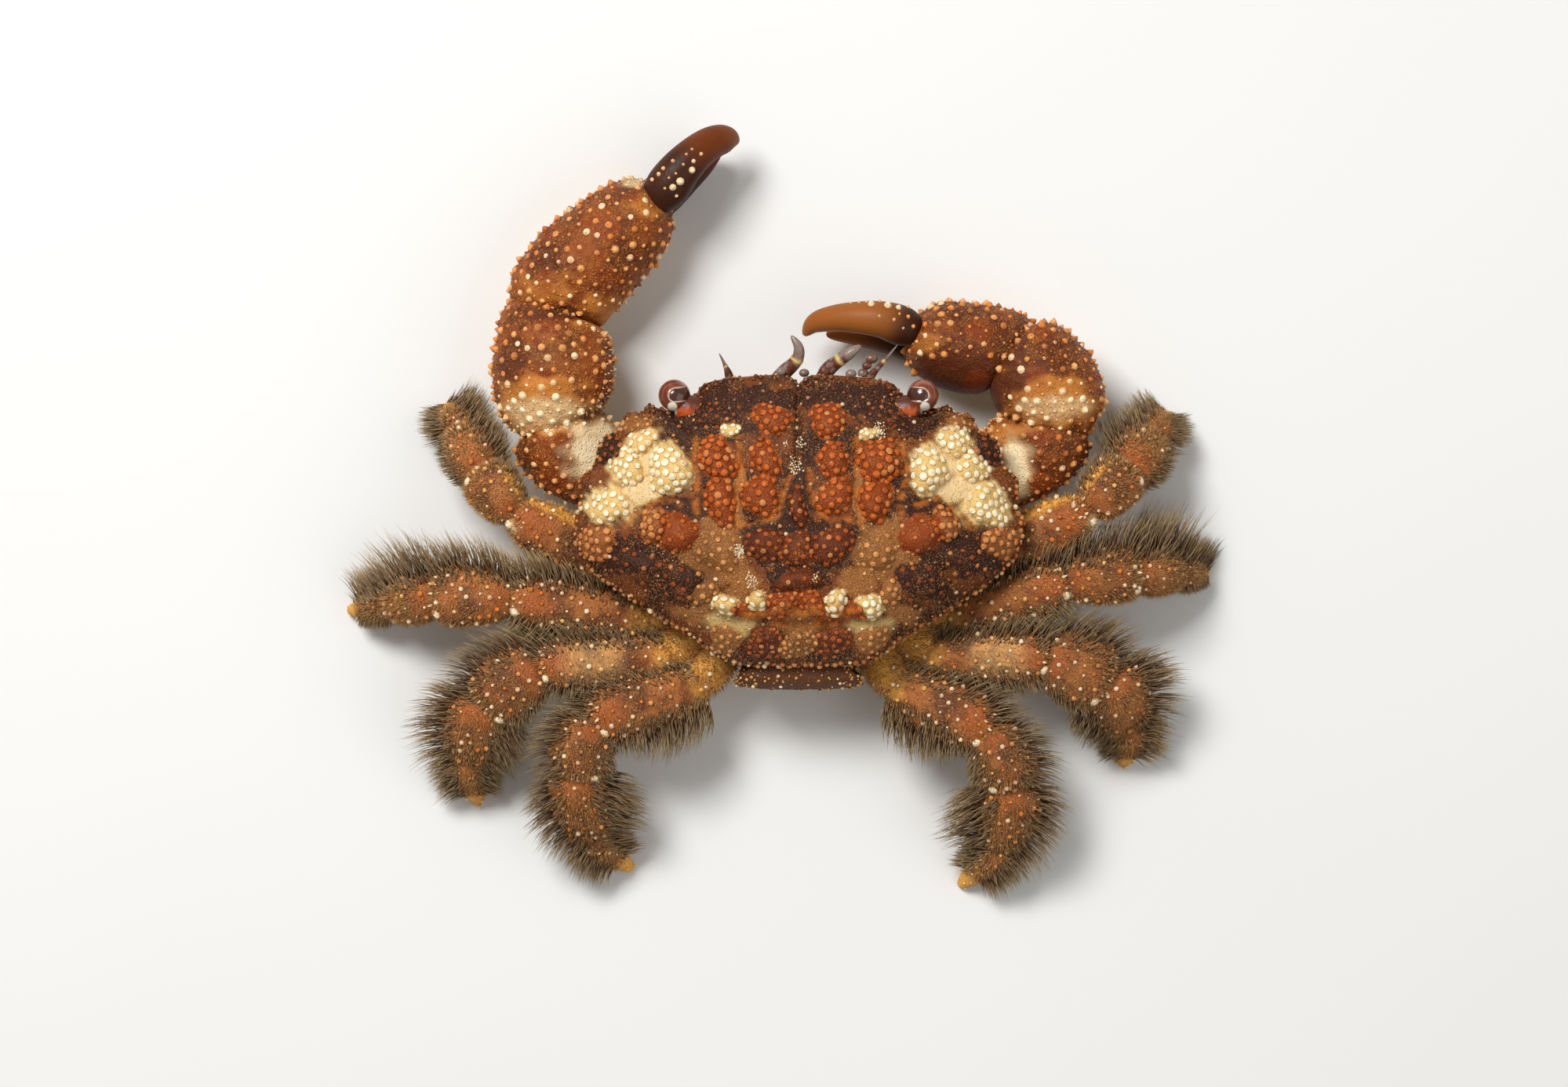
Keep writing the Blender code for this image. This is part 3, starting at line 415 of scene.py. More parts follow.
@dataclass
class Swarm:
    """Many copies of templates joined in one piece, each copy a small patch on its map."""

    name: str
    points: list[Array] = field(default_factory=list)
    triangles: list[Array] = field(default_factory=list)
    marks: list[Array] = field(default_factory=list)
    tones: list[Array] = field(default_factory=list)
    patches: list[Array] = field(default_factory=list)
    count: int = 0

    def add(
        self,
        template: Template,
        vertices: Array,
        marks: Sequence[float] | Array,
        chance: float | Array,
        spots: Array,
    ) -> None:
        """Adds copies of a template.

        Args:
            template: The shape.
            vertices: The vertices of every copy: copies, then template vertices, then x, y and z.
            marks: The masks of each copy, or one row for all.
            chance: A value from 0 to 1 for each copy, or one for all.
            spots: Where each copy's patch lies on the map, from 0 to 1.
        """
        copies, size, _ = vertices.shape
        rise = np.clip(template.points[:, 2], 0, 1)
        self.points.append(vertices.reshape(-1, 3))
        shifts = self.count + size * np.arange(copies)
        self.triangles.append((template.triangles[None] + shifts[:, None, None]).reshape(-1, 3))
        self.marks.append(np.repeat(np.broadcast_to(marks, (copies, 3)), size, axis=0))
        tones = np.zeros((copies, size, 3))
        tones[:, :, 0] = np.reshape(chance, (-1, 1))
        tones[:, :, 1] = rise[None]
        self.tones.append(tones.reshape(-1, 3))
        spread = template.points[:, :2] - template.points[:, :2].min(axis=0)
        spread = spread / max(spread.max(), 1e-9)
        local = columns(spread[:, 0], (rise + spread[:, 1]) / 2) * TUFT_PATCH
        self.patches.append((spots[:, None, :] * (1 - TUFT_PATCH) + local[None]).reshape(-1, 2))
        self.count += copies * size

    def stand(
        self,
        template: Template,
        places: Ground,
        widths: float | Array,
        heights: float | Array,
        marks: Sequence[float] | Array,
        chance: float | Array,
    ) -> None:
        """Stands a copy of a template on each place.

        Args:
            template: The shape, rising along its z axis.
            places: Where the copies stand.
            widths: Their radius.
            heights: Their height.
            marks: Their masks.
            chance: Their values of chance.
        """
        side = unit(np.cross(places.normals, np.array((0.31, 0.17, 0.93))))
        front = np.cross(places.normals, side)
        x, y, z = template.points.T[:, None, :, None]
        flat = side[:, None] * x + front[:, None] * y
        vertices = places.points[:, None] + flat * np.reshape(widths, (-1, 1, 1))
        vertices = vertices + places.normals[:, None] * z * np.reshape(heights, (-1, 1, 1))
        self.add(template, vertices, marks, chance, places.spots)

    def grow(
        self,
        pile: Pile,
        places: Ground,
        lie: Sequence[float] | Array,
        lengths: Array | None = None,
        gold: float | Array | None = None,
    ) -> None:
        """Grows hairs that leave the skin along its normals and bend over along their lie.

        Args:
            pile: The kind of hair.
            places: Where the hairs are rooted.
            lie: The direction, or directions, towards which they bend.
            lengths: How long each is, if that isn't left to chance.
            gold: How golden each is, if that isn't left to chance.
        """
        count = len(places)
        rng = places.rng
        template = Template.hair(pile.bands)
        lie = unit(np.asarray(lie) + rng.normal(0, pile.lie_strays, (count, 3)))
        outward = unit(places.normals + rng.normal(0, pile.root_strays, (count, 3)))
        if lengths is None:
            lengths = rng.uniform(*pile.lengths, count)
        bend = rng.uniform(*pile.bend, count)
        if gold is None:
            gold = np.clip(rng.random(count) * pile.golden, 0, 1)
        side = unit(np.cross(outward, lie))
        front = np.cross(side, outward)
        x, y, z = template.points.T[:, None, :, None]
        shaft = outward[:, None] * z + lie[:, None] * (bend[:, None, None] * z ** 2)
        thick = side[:, None] * x + front[:, None] * y
        vertices = places.points[:, None] + shaft * lengths[:, None, None] + thick * pile.width
        vertices[:, :, 2] = np.maximum(vertices[:, :, 2], pile.lowest)
        marks = columns(np.broadcast_to(gold, count), 0, 0)
        self.add(template, vertices, marks, rng.random(count), places.spots)

    def finish(self, material: Material, slot: Slot) -> None:
        """Joins every copy in one mesh object, in metres, with its own map.

        Args:
            material: The piece's finish.
            slot: Not used.
        """
        points = metres(np.concatenate(self.points)).astype(np.float32)
        triangles = np.concatenate(self.triangles).astype(np.int32)
        mesh = bpy.data.meshes.new(self.name)
        mesh.vertices.add(len(points))
        mesh.vertices.foreach_set("co", points.ravel())
        mesh.loops.add(triangles.size)
        mesh.loops.foreach_set("vertex_index", triangles.ravel())
        mesh.polygons.add(len(triangles))
        mesh.polygons.foreach_set("loop_start", np.arange(0, triangles.size, 3, dtype=np.int32))
        mesh.update(calc_edges=True)
        paint(mesh, marks=np.concatenate(self.marks), tones=np.concatenate(self.tones))
        patches = np.concatenate(self.patches)[triangles.ravel()].astype(np.float32)
        mesh.uv_layers.new(name="OFBake").uv.foreach_set("vector", patches.ravel())
        tie(self.name, mesh, material)


class Recipe:
    """A material under construction, with short calls that add and join its nodes.

    A colour is written as red, green and blue from 0 to 255, as the eye reads it off a screen.
    """

    def __init__(self, name: str) -> None:
        """Starts a Principled material.

        Args:
            name: The material's name.
        """
        self.material = bpy.data.materials.new(name)
        self.material.use_nodes = True
        self.tree = self.material.node_tree
        self.shader = self.tree.nodes["Principled BSDF"]
        self.place = self.node("TexCoord").outputs["Object"]

    def put(self, socket: Socket, value: object) -> None:
        """Links a socket, or sets its value or its colour."""
        if isinstance(value, Socket):
            self.tree.links.new(value, socket)
        else:
            socket.default_value = srgb(*value) if isinstance(value, tuple) else value

    def node(self, kind: str, **inputs: object) -> bpy.types.Node:
        """Adds a node of a kind.

        Args:
            kind: The end of its type's name.
            inputs: Its inputs by name, with underscores for spaces.

        Returns:
            The node.
        """
        node = self.tree.nodes.new(f"ShaderNode{kind}")
        for name, value in inputs.items():
            self.put(node.inputs[name.replace("_", " ")], value)
        return node

    def fix(self, **constants: float) -> None:
        """Sets values that are the same all over the surface on the shader's own sockets."""
        for name, value in constants.items():
            self.shader.inputs[name.replace("_", " ")].default_value = value

    def noise(self, size_mm: float, detail: float = 3.0) -> Socket:
        """Cloudy noise of a feature size in millimetres, from about 0.3 to 0.7."""
        node = self.node("TexNoise", Vector=self.place, Scale=1 / (size_mm * MM), Detail=detail)
        node.inputs["Roughness"].default_value = 0.55
        return node.outputs["Fac"]

    def cells(self, size_mm: float, randomness: float = 1.0) -> Socket:
        """Distance to the middle of scattered cells of a size in millimetres."""
        node = self.node("TexVoronoi", Scale=1 / (size_mm * MM), Randomness=randomness, Vector=self.place)
        return node.outputs["Distance"]

    def masks(self, attribute: str) -> tuple[Socket, ...]:
        """The three masks stored under an attribute's name."""
        node = self.node("Attribute")
        node.attribute_name = attribute
        return tuple(self.node("SeparateXYZ", Vector=node.outputs["Vector"]).outputs)

    def math(self, operation: str, first: object, second: object) -> Socket:
        """A Math node, held between 0 and 1."""
        node = self.node("Math")
        node.operation = operation
        node.use_clamp = True
        self.put(node.inputs[0], first)
        self.put(node.inputs[1], second)
        return node.outputs[0]

    def times(self, first: object, second: object) -> Socket:
        """The product of two values."""
        return self.math("MULTIPLY", first, second)

    def plus(self, first: object, second: object) -> Socket:
        """The sum of two values, at most 1."""
        return self.math("ADD", first, second)

    def less(self, first: object, second: object) -> Socket:
        """The first value less the second, at least 0."""
        return self.math("SUBTRACT", first, second)

    def span(
        self,
        value: object,
        low: float,
        high: float,
        to_low: float = 0.0,
        to_high: float = 1.0,
    ) -> Socket:
        """Maps a range of values smoothly onto another.

        Args:
            value: The values.
            low: Where the range starts.
            high: Where it ends; may lie below low.
            to_low: What low becomes.
            to_high: What high becomes.

        Returns:
            The mapped values.
        """
        node = self.node("MapRange", Value=value, From_Min=low, From_Max=high, To_Min=to_low, To_Max=to_high)
        node.interpolation_type = "SMOOTHSTEP"
        return node.outputs["Result"]

    def mix(self, first: object, second: object, share: object) -> Socket:
        """Mixes a share of a second colour into a first."""
        node = self.tree.nodes.new("ShaderNodeMix")
        node.data_type = "RGBA"
        node.clamp_factor = True
        self.put(node.inputs["Factor"], share)
        self.put(node.inputs[6], first)
        self.put(node.inputs[7], second)
        return node.outputs[2]

    def layers(self, colour: object, *over: tuple[object, object]) -> Socket:
        """Lays colours over one another in turn, each with its share."""
        for upper, share in over:
            colour = self.mix(colour, upper, share)
        return colour

    def bump(self, height: object, depth_mm: float, below: Socket | None = None) -> Socket:
        """A bump of a depth in millimetres, laid over another bump if one is given."""
        node = self.node("Bump", Distance=depth_mm * MM, Height=height)
        if below is not None:
            self.put(node.inputs["Normal"], below)
        return node.outputs["Normal"]

    def done(self, colour: object, roughness: object, normal: Socket | None = None) -> Material:
        """Joins colour, roughness and normal to the shader and gives the material."""
        self.put(self.shader.inputs["Base Color"], colour)
        self.put(self.shader.inputs["Roughness"], roughness)
        if normal is not None:
            self.put(self.shader.inputs["Normal"], normal)
        return self.material


@dataclass(frozen=True)
class Crust:
    """The finish of a granular shell: blotched ground, coloured bosses and beads with bright tops."""

    name: str
    dark: Colour
    mid: Colour
    rust: Colour
    tan: Colour
    cream: Colour
    bead: Colour
    rust_bead: Colour
    tan_bead: Colour
    cream_bead: Colour
    hollow: Colour
    pile: Colour
    dust_and_painted_shade: Colour
    gloss: float = 0.45
    blotch_mm: float = 2.4
    pile_mm: float = 0.13
    pile_share: float = 0.5

    def make(self) -> Material:
        """Builds the material from masks for cream, rust and tan, and for chance, rise and hollow."""
        recipe = Recipe(self.name)
        cream, rust, tan = recipe.masks("marks")
        chance, rise, hollow = recipe.masks("tones")
        cloud = recipe.noise(self.blotch_mm, 4)
        grit = recipe.noise(0.16, 2)
        crumb = recipe.noise(0.55, 3)
        pile = recipe.cells(self.pile_mm)
        edge = recipe.times(crumb, 0.5)
        rust = recipe.span(recipe.plus(rust, edge), 0.35, 0.95)
        tan = recipe.span(recipe.plus(tan, edge), 0.35, 0.95)
        # Dusk darkens the ground and dims the pile: mostly dark patches of the crab's own colour, and on the
        # right claw painted shade on the palm's inner face.
        dusk = recipe.span(chance, LEAST_SHADE, 1.0)
        blotches = recipe.span(recipe.less(cloud, recipe.times(dusk, 0.3)), 0.42, 0.6)
        patchy = recipe.span(crumb, 0.36, 0.62, self.pile_share * 0.3, self.pile_share)
        patchy = recipe.times(recipe.plus(patchy, recipe.times(tan, 0.3)), recipe.less(1.0, cream))
        ground = recipe.layers(
            self.dark,
            (self.mid, blotches),
            (self.rust, rust),
            (self.tan, recipe.times(tan, recipe.span(cloud, 0.38, 0.58, 0.66, 1.0))),
            (self.cream, cream),
            (self.hollow, recipe.times(hollow, recipe.span(crumb, 0.35, 0.6))),
            # With dusk the pile turns to its darker dust colour, which on the right claw is partly painted
            # shade.
            (recipe.mix(self.pile, self.dust_and_painted_shade, dusk), recipe.times(recipe.span(pile, 0.52, 0.18), patchy)),
        )
        top = recipe.layers(
            self.bead,
            (self.rust_bead, rust),
            (self.tan_bead, tan),
            (self.tan_bead, recipe.span(chance, 0.28, 0.0, 0.0, 0.7)),
            (self.cream_bead, cream),
            (ground, recipe.times(recipe.span(chance, 0.55, 1.0), 0.55)),
        )
        colour = recipe.mix(ground, top, recipe.span(rise, 0.12, 0.62))
        normal = recipe.bump(crumb, 0.12)
        normal = recipe.bump(grit, 0.03, normal)
        normal = recipe.bump(recipe.span(pile, 0.5, 0.05), 0.035, normal)
        recipe.fix(Specular_IOR_Level=0.2)
        return recipe.done(colour, recipe.span(rise, 0.1, 0.7, self.gloss + 0.16, self.gloss - 0.12), normal)


@dataclass(frozen=True)
class Horn:
    """The finish of a smooth, glossy finger that darkens away from its tip."""

    name: str
    deep: Colour
    warm: Colour
    pale: Colour

    def make(self) -> Material:
        """Builds the material; the first mask of tones runs from 0 at the base to 1 at the tip."""
        recipe = Recipe(self.name)
        along, ridge, _ = recipe.masks("tones")
        cloud = recipe.noise(1.3, 4)
        fine = recipe.noise(0.2, 3)
        light = recipe.span(along, 0.35, 0.65, 0.0, 0.85)
        light = recipe.plus(light, recipe.span(cloud, 0.35, 0.75, 0.0, 0.25))
        shine = recipe.span(along, 0.7, 1.0, 0.0, 0.2)
        colour = recipe.layers(self.deep, (self.warm, light), (self.pale, ridge), (self.pale, shine))
        normal = recipe.bump(fine, 0.015)
        recipe.fix(Specular_IOR_Level=0.16)
        return recipe.done(colour, recipe.span(fine, 0.3, 0.7, 0.5, 0.42), normal)


@dataclass(frozen=True)
class Bristle:
    """The finish of hairs: a colour at the root that runs to another at the tip."""

    name: str
    root: Colour
    shaft: Colour
    tip: Colour
    gold: Colour

    def make(self) -> Material:
        """Builds the material from chance and rise, and a mask for golden hairs."""
        recipe = Recipe(self.name)
        gold, _, _ = recipe.masks("marks")
        chance, rise, _ = recipe.masks("tones")
        cloud = recipe.noise(1.8, 3)
        shade = recipe.times(recipe.plus(recipe.span(chance, 0.5, 1.0), recipe.span(cloud, 0.5, 0.7)), 0.4)
        colour = recipe.layers(
            self.root,
            (self.shaft, recipe.span(rise, 0.0, 0.45)),
            (self.tip, recipe.span(rise, 0.4, 1.0)),
            (self.gold, gold),
            (self.root, shade),
        )
        return recipe.done(colour, recipe.span(cloud, 0.3, 0.7, 0.62, 0.5))


@dataclass(frozen=True)
class Skin:
    """The finish of pale, soft parts: underside, stalks and feelers."""

    name: str
    base: Colour
    patch: Colour
    mark: Colour
    roughness: float = 0.45
    cloud_mm: float = 1.6

    def make(self) -> Material:
        """Builds the material; the first two masks of marks are laid over the clouds."""
        recipe = Recipe(self.name)
        mark, second, _ = recipe.masks("marks")
        cloud = recipe.noise(self.cloud_mm, 4)
        fine = recipe.noise(0.22, 3)
        colour = recipe.layers(
            self.base,
            (self.patch, recipe.span(cloud, 0.45, 0.62)),
            (self.mark, mark),
            (self.patch, second),
            (self.patch, recipe.times(recipe.span(fine, 0.58, 0.72), 0.5)),
        )
        gloss = recipe.span(fine, 0.3, 0.7, self.roughness + 0.08, self.roughness - 0.08)
        return recipe.done(colour, gloss, recipe.bump(fine, 0.03))


class Palette:
    """Every finish of the crab, made once."""

    def __init__(self) -> None:
        """Makes the materials."""
        self.shell = Crust(
            "shell_crust", dark=(52, 23, 10), mid=(112, 56, 22), rust=(136, 56, 14), tan=(150, 94, 46),
            cream=(222, 184, 116), bead=(138, 67, 30), rust_bead=(194, 96, 36), tan_bead=(210, 144, 84),
            cream_bead=(250, 236, 200), hollow=(208, 112, 22), pile=(202, 146, 82), dust_and_painted_shade=(144, 96, 62),
            gloss=0.44, pile_share=0.55,
        ).make()
        # On the right claw the darker ground and dust colours also paint shade on the palm's inner face.
        self.claw = Crust(
            "claw_crust", dark=(88, 38, 14), mid=(134, 62, 17), rust=(120, 47, 12), tan=(200, 124, 50),
            cream=(240, 214, 160), bead=(218, 130, 62), rust_bead=(204, 94, 28), tan_bead=(238, 178, 114),
            cream_bead=(252, 228, 188), hollow=(168, 96, 32), pile=(206, 136, 62), dust_and_painted_shade=(120, 76, 48),
            gloss=0.38, blotch_mm=2.6, pile_share=0.62,
        ).make()
        self.leg = Crust(
            "leg_crust", dark=(98, 56, 32), mid=(166, 100, 50), rust=(160, 84, 38), tan=(236, 170, 72),
            cream=(246, 220, 164), bead=(224, 158, 92), rust_bead=(214, 118, 46), tan_bead=(238, 186, 104),
            cream_bead=(254, 240, 210), hollow=(152, 104, 62), pile=(208, 154, 96), dust_and_painted_shade=(134, 100, 74),
            gloss=0.48, blotch_mm=1.8, pile_share=0.6,
        ).make()
        self.finger = Horn("finger_horn", (56, 28, 15), (108, 50, 13), (190, 116, 52)).make()
        self.leg_hair = Bristle(
            "leg_hair", (72, 50, 34), (116, 90, 62), (200, 176, 126), (232, 170, 98)
        ).make()
        self.shell_hair = Bristle(
            "shell_hair", (134, 88, 48), (178, 128, 78), (222, 186, 136), (226, 168, 76)
        ).make()
        self.underside = Skin("pale_underside", (226, 204, 168), (196, 160, 118), (122, 96, 80)).make()
        self.stalk = Skin("eye_stalk", (186, 76, 10), (84, 34, 14), (240, 228, 204), 0.45, 0.8).make()
        self.feeler = Skin("feeler", (96, 45, 28), (134, 114, 102), (226, 190, 110), 0.3, 0.5).make()
        self.cornea = self.make_cornea()

    def make_cornea(self) -> Material:
        """Glassy red-brown with darker depths and fine facets."""
        recipe = Recipe("cornea_glass")
        tongue, white, rim = recipe.masks("marks")
        cloud = recipe.noise(0.5, 3)
        colour = recipe.layers(
            (104, 42, 20),
            ((136, 64, 36), recipe.span(cloud, 0.4, 0.62)),
            ((168, 112, 90), recipe.times(rim, 0.6)),
            ((70, 36, 22), tongue),
            # White: a white patch of the eye's own, and a painted highlight round the tongue.
            ((240, 232, 214), white),
        )
        recipe.fix(Coat_Weight=0.5, Coat_Roughness=0.04)
        facets = recipe.bump(recipe.cells(0.07, 0.35), 0.004)
        return recipe.done(colour, recipe.span(cloud, 0.3, 0.7, 0.2, 0.14), facets)


def globe(name: str, rings: int, sides: int) -> tuple[Workpiece, Array, Array]:
    """Makes a ball to be shaped.

    Args:
        name: The piece's name.
        rings: How many rings it has.
        sides: How many sides.

    Returns:
        The piece, and each vertex's share of the way from pole to pole and its angle around.
    """
    bm = bmesh.new()
    bmesh.ops.create_uvsphere(bm, u_segments=sides, v_segments=rings, radius=1)
    piece = Workpiece(name, bm)
    x, y, z = piece.points.T
    share = (np.arcsin(np.clip(z, -1, 1)) / (math.pi / 2) + 1) / 2
    return piece, share, np.arctan2(y, x)


def round_ends(share: Array, blunt: float) -> Array:
    """How full a round-ended limb is at a share along it, from 0 at its ends to 1."""
    return np.sqrt(np.maximum(0, 1 - np.abs(2 * share - 1) ** blunt))


def around(angle: Array) -> Array:
    """An angle as a share of the whole way around, from 0 to 1."""
    return (angle / math.pi + 1) / 2


def tube(
    name: str,
    steps: Sequence[Sequence[float]],
    rings: int,
    sides: int,
    blunt: float = 9.0,
) -> tuple[Workpiece, Array, Array]:
    """Makes a round-ended limb over sections of x, y, z, half width and half height.

    Args:
        name: The piece's name.
        steps: The sections, from base to end.
        rings: How many rings it has.
        sides: How many sides.
        blunt: How flat its ends are.

    Returns:
        The piece, and each vertex's share along it and angle around it.
    """
    piece, share, angle = globe(name, rings, sides)
    curve = smooth_steps(steps, 256)
    heading = unit(np.gradient(curve[:, :3], axis=0))
    across = unit(columns(-heading[:, 1], heading[:, 0], 0.0))
    upward = np.cross(heading, across)
    full = round_ends(share, blunt)
    wide, tall = sample(curve[:, 3:5], share).T
    offset = sample(across, share) * (wide * full * np.cos(angle))[:, None]
    offset += sample(upward, share) * (tall * full * np.sin(angle))[:, None]
    piece.points = sample(curve[:, :3], share) + offset
    return piece, share, angle


def near_lift(points: Array, roots: Array, reach: float) -> Array:
    """How close each point is to its nearest root: 1 at the root, 0 from the reach on."""
    tree = KDTree(len(roots))
    for index, root in enumerate(roots):
        tree.insert(root, index)
    tree.balance()
    distance = np.array([tree.find(point)[2] for point in points])
    return np.clip(1 - distance / reach, 0, 1)


class Kind(Enum):
    """What a raised region of the carapace looks like: its masks for cream, rust and tan."""

    CREAM = (1.0, 0.0, 0.0)
    RUST = (0.0, 1.0, 0.0)
    AMBER = (0.0, 0.9, 0.5)
    TAN = (0.0, 0.0, 1.0)
    DUSK = (0.0, 0.35, 0.0)
    PLAIN = (0.0, 0.0, 0.0)


@dataclass
class Boss:
    """One raised region on one side of the carapace, and the beads on it."""

    x: float
    y: float
    reach_x: float
    reach_y: float
    height: float
    kind: Kind
    spacing: float = 0.48
    bead: float = 0.21

    def share(self, x: Array, y: Array) -> Array:
        """The squared distance from the boss's middle, 1 at its edge."""
        return ((np.abs(x) - self.x) / self.reach_x) ** 2 + ((y - self.y) / self.reach_y) ** 2


@dataclass
class Chart:
    """Where each vertex of the shell lies, seen from above, and how far it strays for ragged edges."""

    x: Array
    y: Array

    def __post_init__(self) -> None:
        """Works out the straying."""
        x, y = self.x, self.y
        self.stray_x = 0.12 * (np.sin(x * 1.7 + y * 0.6) + np.sin(y * 2.3 + 1))
        self.stray_y = 0.12 * (np.sin(y * 1.9 - x * 0.5) + np.sin(x * 2.6 + 2))
        ripples = np.sin(x * 6.1 + y * 2.7) + np.sin(y * 7.3 - x * 3.1 + 1) + np.sin(x * 11 + y * 9)
        self.ragged = 0.11 * ripples

    def astray(self, share: float = 1.0) -> tuple[Array, Array]:
        """The vertices' x and y, astray by a share."""
        return self.x + self.stray_x * share, self.y + self.stray_y * share

    def far(self, oval: Sequence[float]) -> Array:
        """How far vertices lie from the middle of an oval of x, y and their reaches: 1 at its edge."""
        middle_x, middle_y, reach_x, reach_y = oval
        x, y = self.astray()
        return np.hypot((np.abs(x) - middle_x) / reach_x, (y - middle_y) / reach_y)


@dataclass
class Carapace:
    """The domed shell with its bosses, beads and golden hair."""

    seed: int = 41
    margin: Rows = (
        (0.0, -7.35), (0.7, -7.8), (2.7, -7.75), (4.9, -7.4), (5.7, -6.6), (7.2, -6.0), (8.0, -6.25),
        (8.4, -5.8), (9.15, -5.75), (9.6, -4.95), (10.6, -4.35), (10.95, -3.1), (11.75, -2.2), (11.7, -0.95),
        (12.0, 0.1), (11.85, 1.4), (10.95, 2.7), (9.3, 3.95), (7.5, 5.1), (5.5, 6.3), (4.25, 7.3),
        (3.1, 7.7), (0.0, 7.8),
    )
    top: float = 10.7
    rim: float = 7.2
    front_rise: float = 0.45
    rear_fall: float = 0.2
    underside: float = 5.6
    boldness: float = 1.75
    sink: float = 0.08
    sheet_columns: int = 250
    sheet_rows: int = 176
    bosses: list[Boss] = field(default_factory=lambda: [
        Boss(1.50, -5.42, 1.05, 0.80, 0.32, Kind.RUST, 0.41, 0.18),
        Boss(1.80, -3.25, 0.82, 1.10, 0.32, Kind.RUST, 0.46, 0.20),
        Boss(1.98, -1.36, 0.86, 1.00, 0.30, Kind.RUST, 0.50, 0.20),
        Boss(4.25, -3.22, 1.02, 1.12, 0.40, Kind.RUST, 0.44, 0.22),
        Boss(4.12, -1.15, 0.92, 1.30, 0.34, Kind.RUST, 0.46, 0.21),
        Boss(4.70, -5.60, 1.20, 0.80, 0.20, Kind.PLAIN, 0.42, 0.13),
        Boss(8.26, -4.32, 0.82, 0.76, 0.34, Kind.CREAM, 0.41, 0.20),
        Boss(9.25, -2.95, 0.96, 0.95, 0.38, Kind.CREAM, 0.42, 0.205),
        Boss(6.88, -2.62, 1.10, 1.28, 0.44, Kind.CREAM, 0.44, 0.22),
        Boss(10.12, -0.82, 1.20, 1.04, 0.44, Kind.CREAM, 0.44, 0.21),
        Boss(10.25, -3.85, 0.80, 0.80, 0.32, Kind.PLAIN, 0.50, 0.16),
        Boss(8.85, -5.40, 0.85, 0.50, 0.25, Kind.TAN, 0.50, 0.13),
        Boss(10.75, 1.10, 1.05, 0.80, 0.36, Kind.AMBER, 0.42, 0.20),
        Boss(7.75, 0.20, 0.80, 0.80, 0.42, Kind.AMBER, 0.40, 0.20),
        Boss(6.40, 0.65, 1.08, 1.00, 0.42, Kind.RUST, 0.62, 0.14),
        Boss(4.25, 1.60, 1.15, 1.10, 0.30, Kind.TAN, 0.52, 0.17),
        Boss(8.80, 2.45, 1.30, 1.00, 0.26, Kind.PLAIN, 0.62, 0.15),
        Boss(6.30, 3.40, 1.30, 1.00, 0.26, Kind.PLAIN, 0.62, 0.16),
        Boss(4.90, 3.85, 0.60, 0.60, 0.20, Kind.TAN, 0.44, 0.17),
        Boss(1.75, 1.25, 1.10, 0.85, 0.28, Kind.DUSK, 0.44, 0.17),
        Boss(0.10, 1.55, 0.90, 0.80, 0.22, Kind.DUSK, 0.46, 0.15),
        Boss(0.00, -0.60, 0.50, 1.20, 0.26, Kind.DUSK, 0.44, 0.15),
        Boss(0.00, 3.15, 1.30, 0.70, 0.30, Kind.DUSK, 0.80, 0.14),
        Boss(3.80, 4.42, 0.66, 0.62, 0.44, Kind.CREAM, 0.42, 0.20),
        Boss(2.10, 4.36, 0.64, 0.62, 0.42, Kind.CREAM, 0.50, 0.22),
        Boss(0.75, 4.38, 0.80, 0.58, 0.30, Kind.RUST, 0.40, 0.16),
        Boss(3.00, 4.75, 0.50, 0.40, 0.10, Kind.RUST, 0.60, 0.12),
        Boss(1.70, 6.45, 1.20, 0.90, 0.20, Kind.DUSK, 0.40, 0.15),
        Boss(0.00, 6.60, 0.90, 0.80, 0.16, Kind.TAN, 0.38, 0.13),
        Boss(3.90, 6.30, 0.75, 0.70, 0.14, Kind.TAN, 0.46, 0.15),
        Boss(3.72, -4.82, 0.42, 0.36, 0.14, Kind.CREAM, 0.30, 0.13),
    ])
    cream_grounds: Rows = (
        (8.35, -2.75, 1.75, 1.75), (8.15, -4.35, 0.85, 0.85), (9.9, -0.95, 1.45, 1.1),
        (8.2, -1.75, 1.4, 0.9), (3.75, 5.60, 1.25, 0.60),
    )
    tan_grounds: Rows = (
        (4.5, 1.6, 1.9, 1.9), (3.0, 3.3, 1.0, 0.9), (8.9, -5.5, 1.3, 0.7), (5.6, 4.6, 1.2, 1.0),
        (3.15, -1.2, 0.35, 1.6), (0.0, 5.9, 0.9, 1.3),
    )
    rust_grounds: Rows = ((0.9, 4.6, 2.8, 0.75),)
    glow: Row = (4.8, 0.5, 3.3)
    crumbs: Rows = (
        (-4.3, -4.8, 0.34), (-0.07, -4.1, 0.22), (0.13, -2.9, 0.34), (0.7, -4.1, 0.15), (3.2, 1.6, 0.3),
        (2.5, 3.1, 0.32), (-0.9, 3.0, 0.2),
    )
    dusky: Rows = (
        (0.0, -0.6, 0.9, 2.0), (1.6, 1.2, 1.7, 1.2), (3.0, -6.4, 4.2, 0.9), (10.3, -3.9, 1.0, 1.0),
        (7.0, -0.75, 2.6, 0.55), (9.4, 1.9, 1.9, 1.1), (5.4, 3.0, 1.0, 0.8), (1.6, 6.6, 1.2, 0.8),
        (0.4, 2.9, 1.2, 0.9), (6.1, -5.2, 1.2, 0.9),
    )
    grooves: tuple[Rows, ...] = (
        ((3.2, -4.4), (3.05, -2.8), (3.1, -1.6), (3.3, 0.3)),
        ((0.45, -2.6), (0.75, -1.6), (1.2, -0.5), (2.1, 0.05), (3.1, 0.1)),
        ((5.4, -4.4), (5.6, -3.0), (5.4, -0.4)),
        ((6.2, -0.9), (7.4, -1.05), (8.8, -0.4), (9.2, 0.4)),
        ((2.6, 5.35), (1.2, 5.3), (0.0, 5.55)),
    )
    skirt_rows: int = 8
    boss_fade: float = 6.0
    groove_reach: float = 0.26
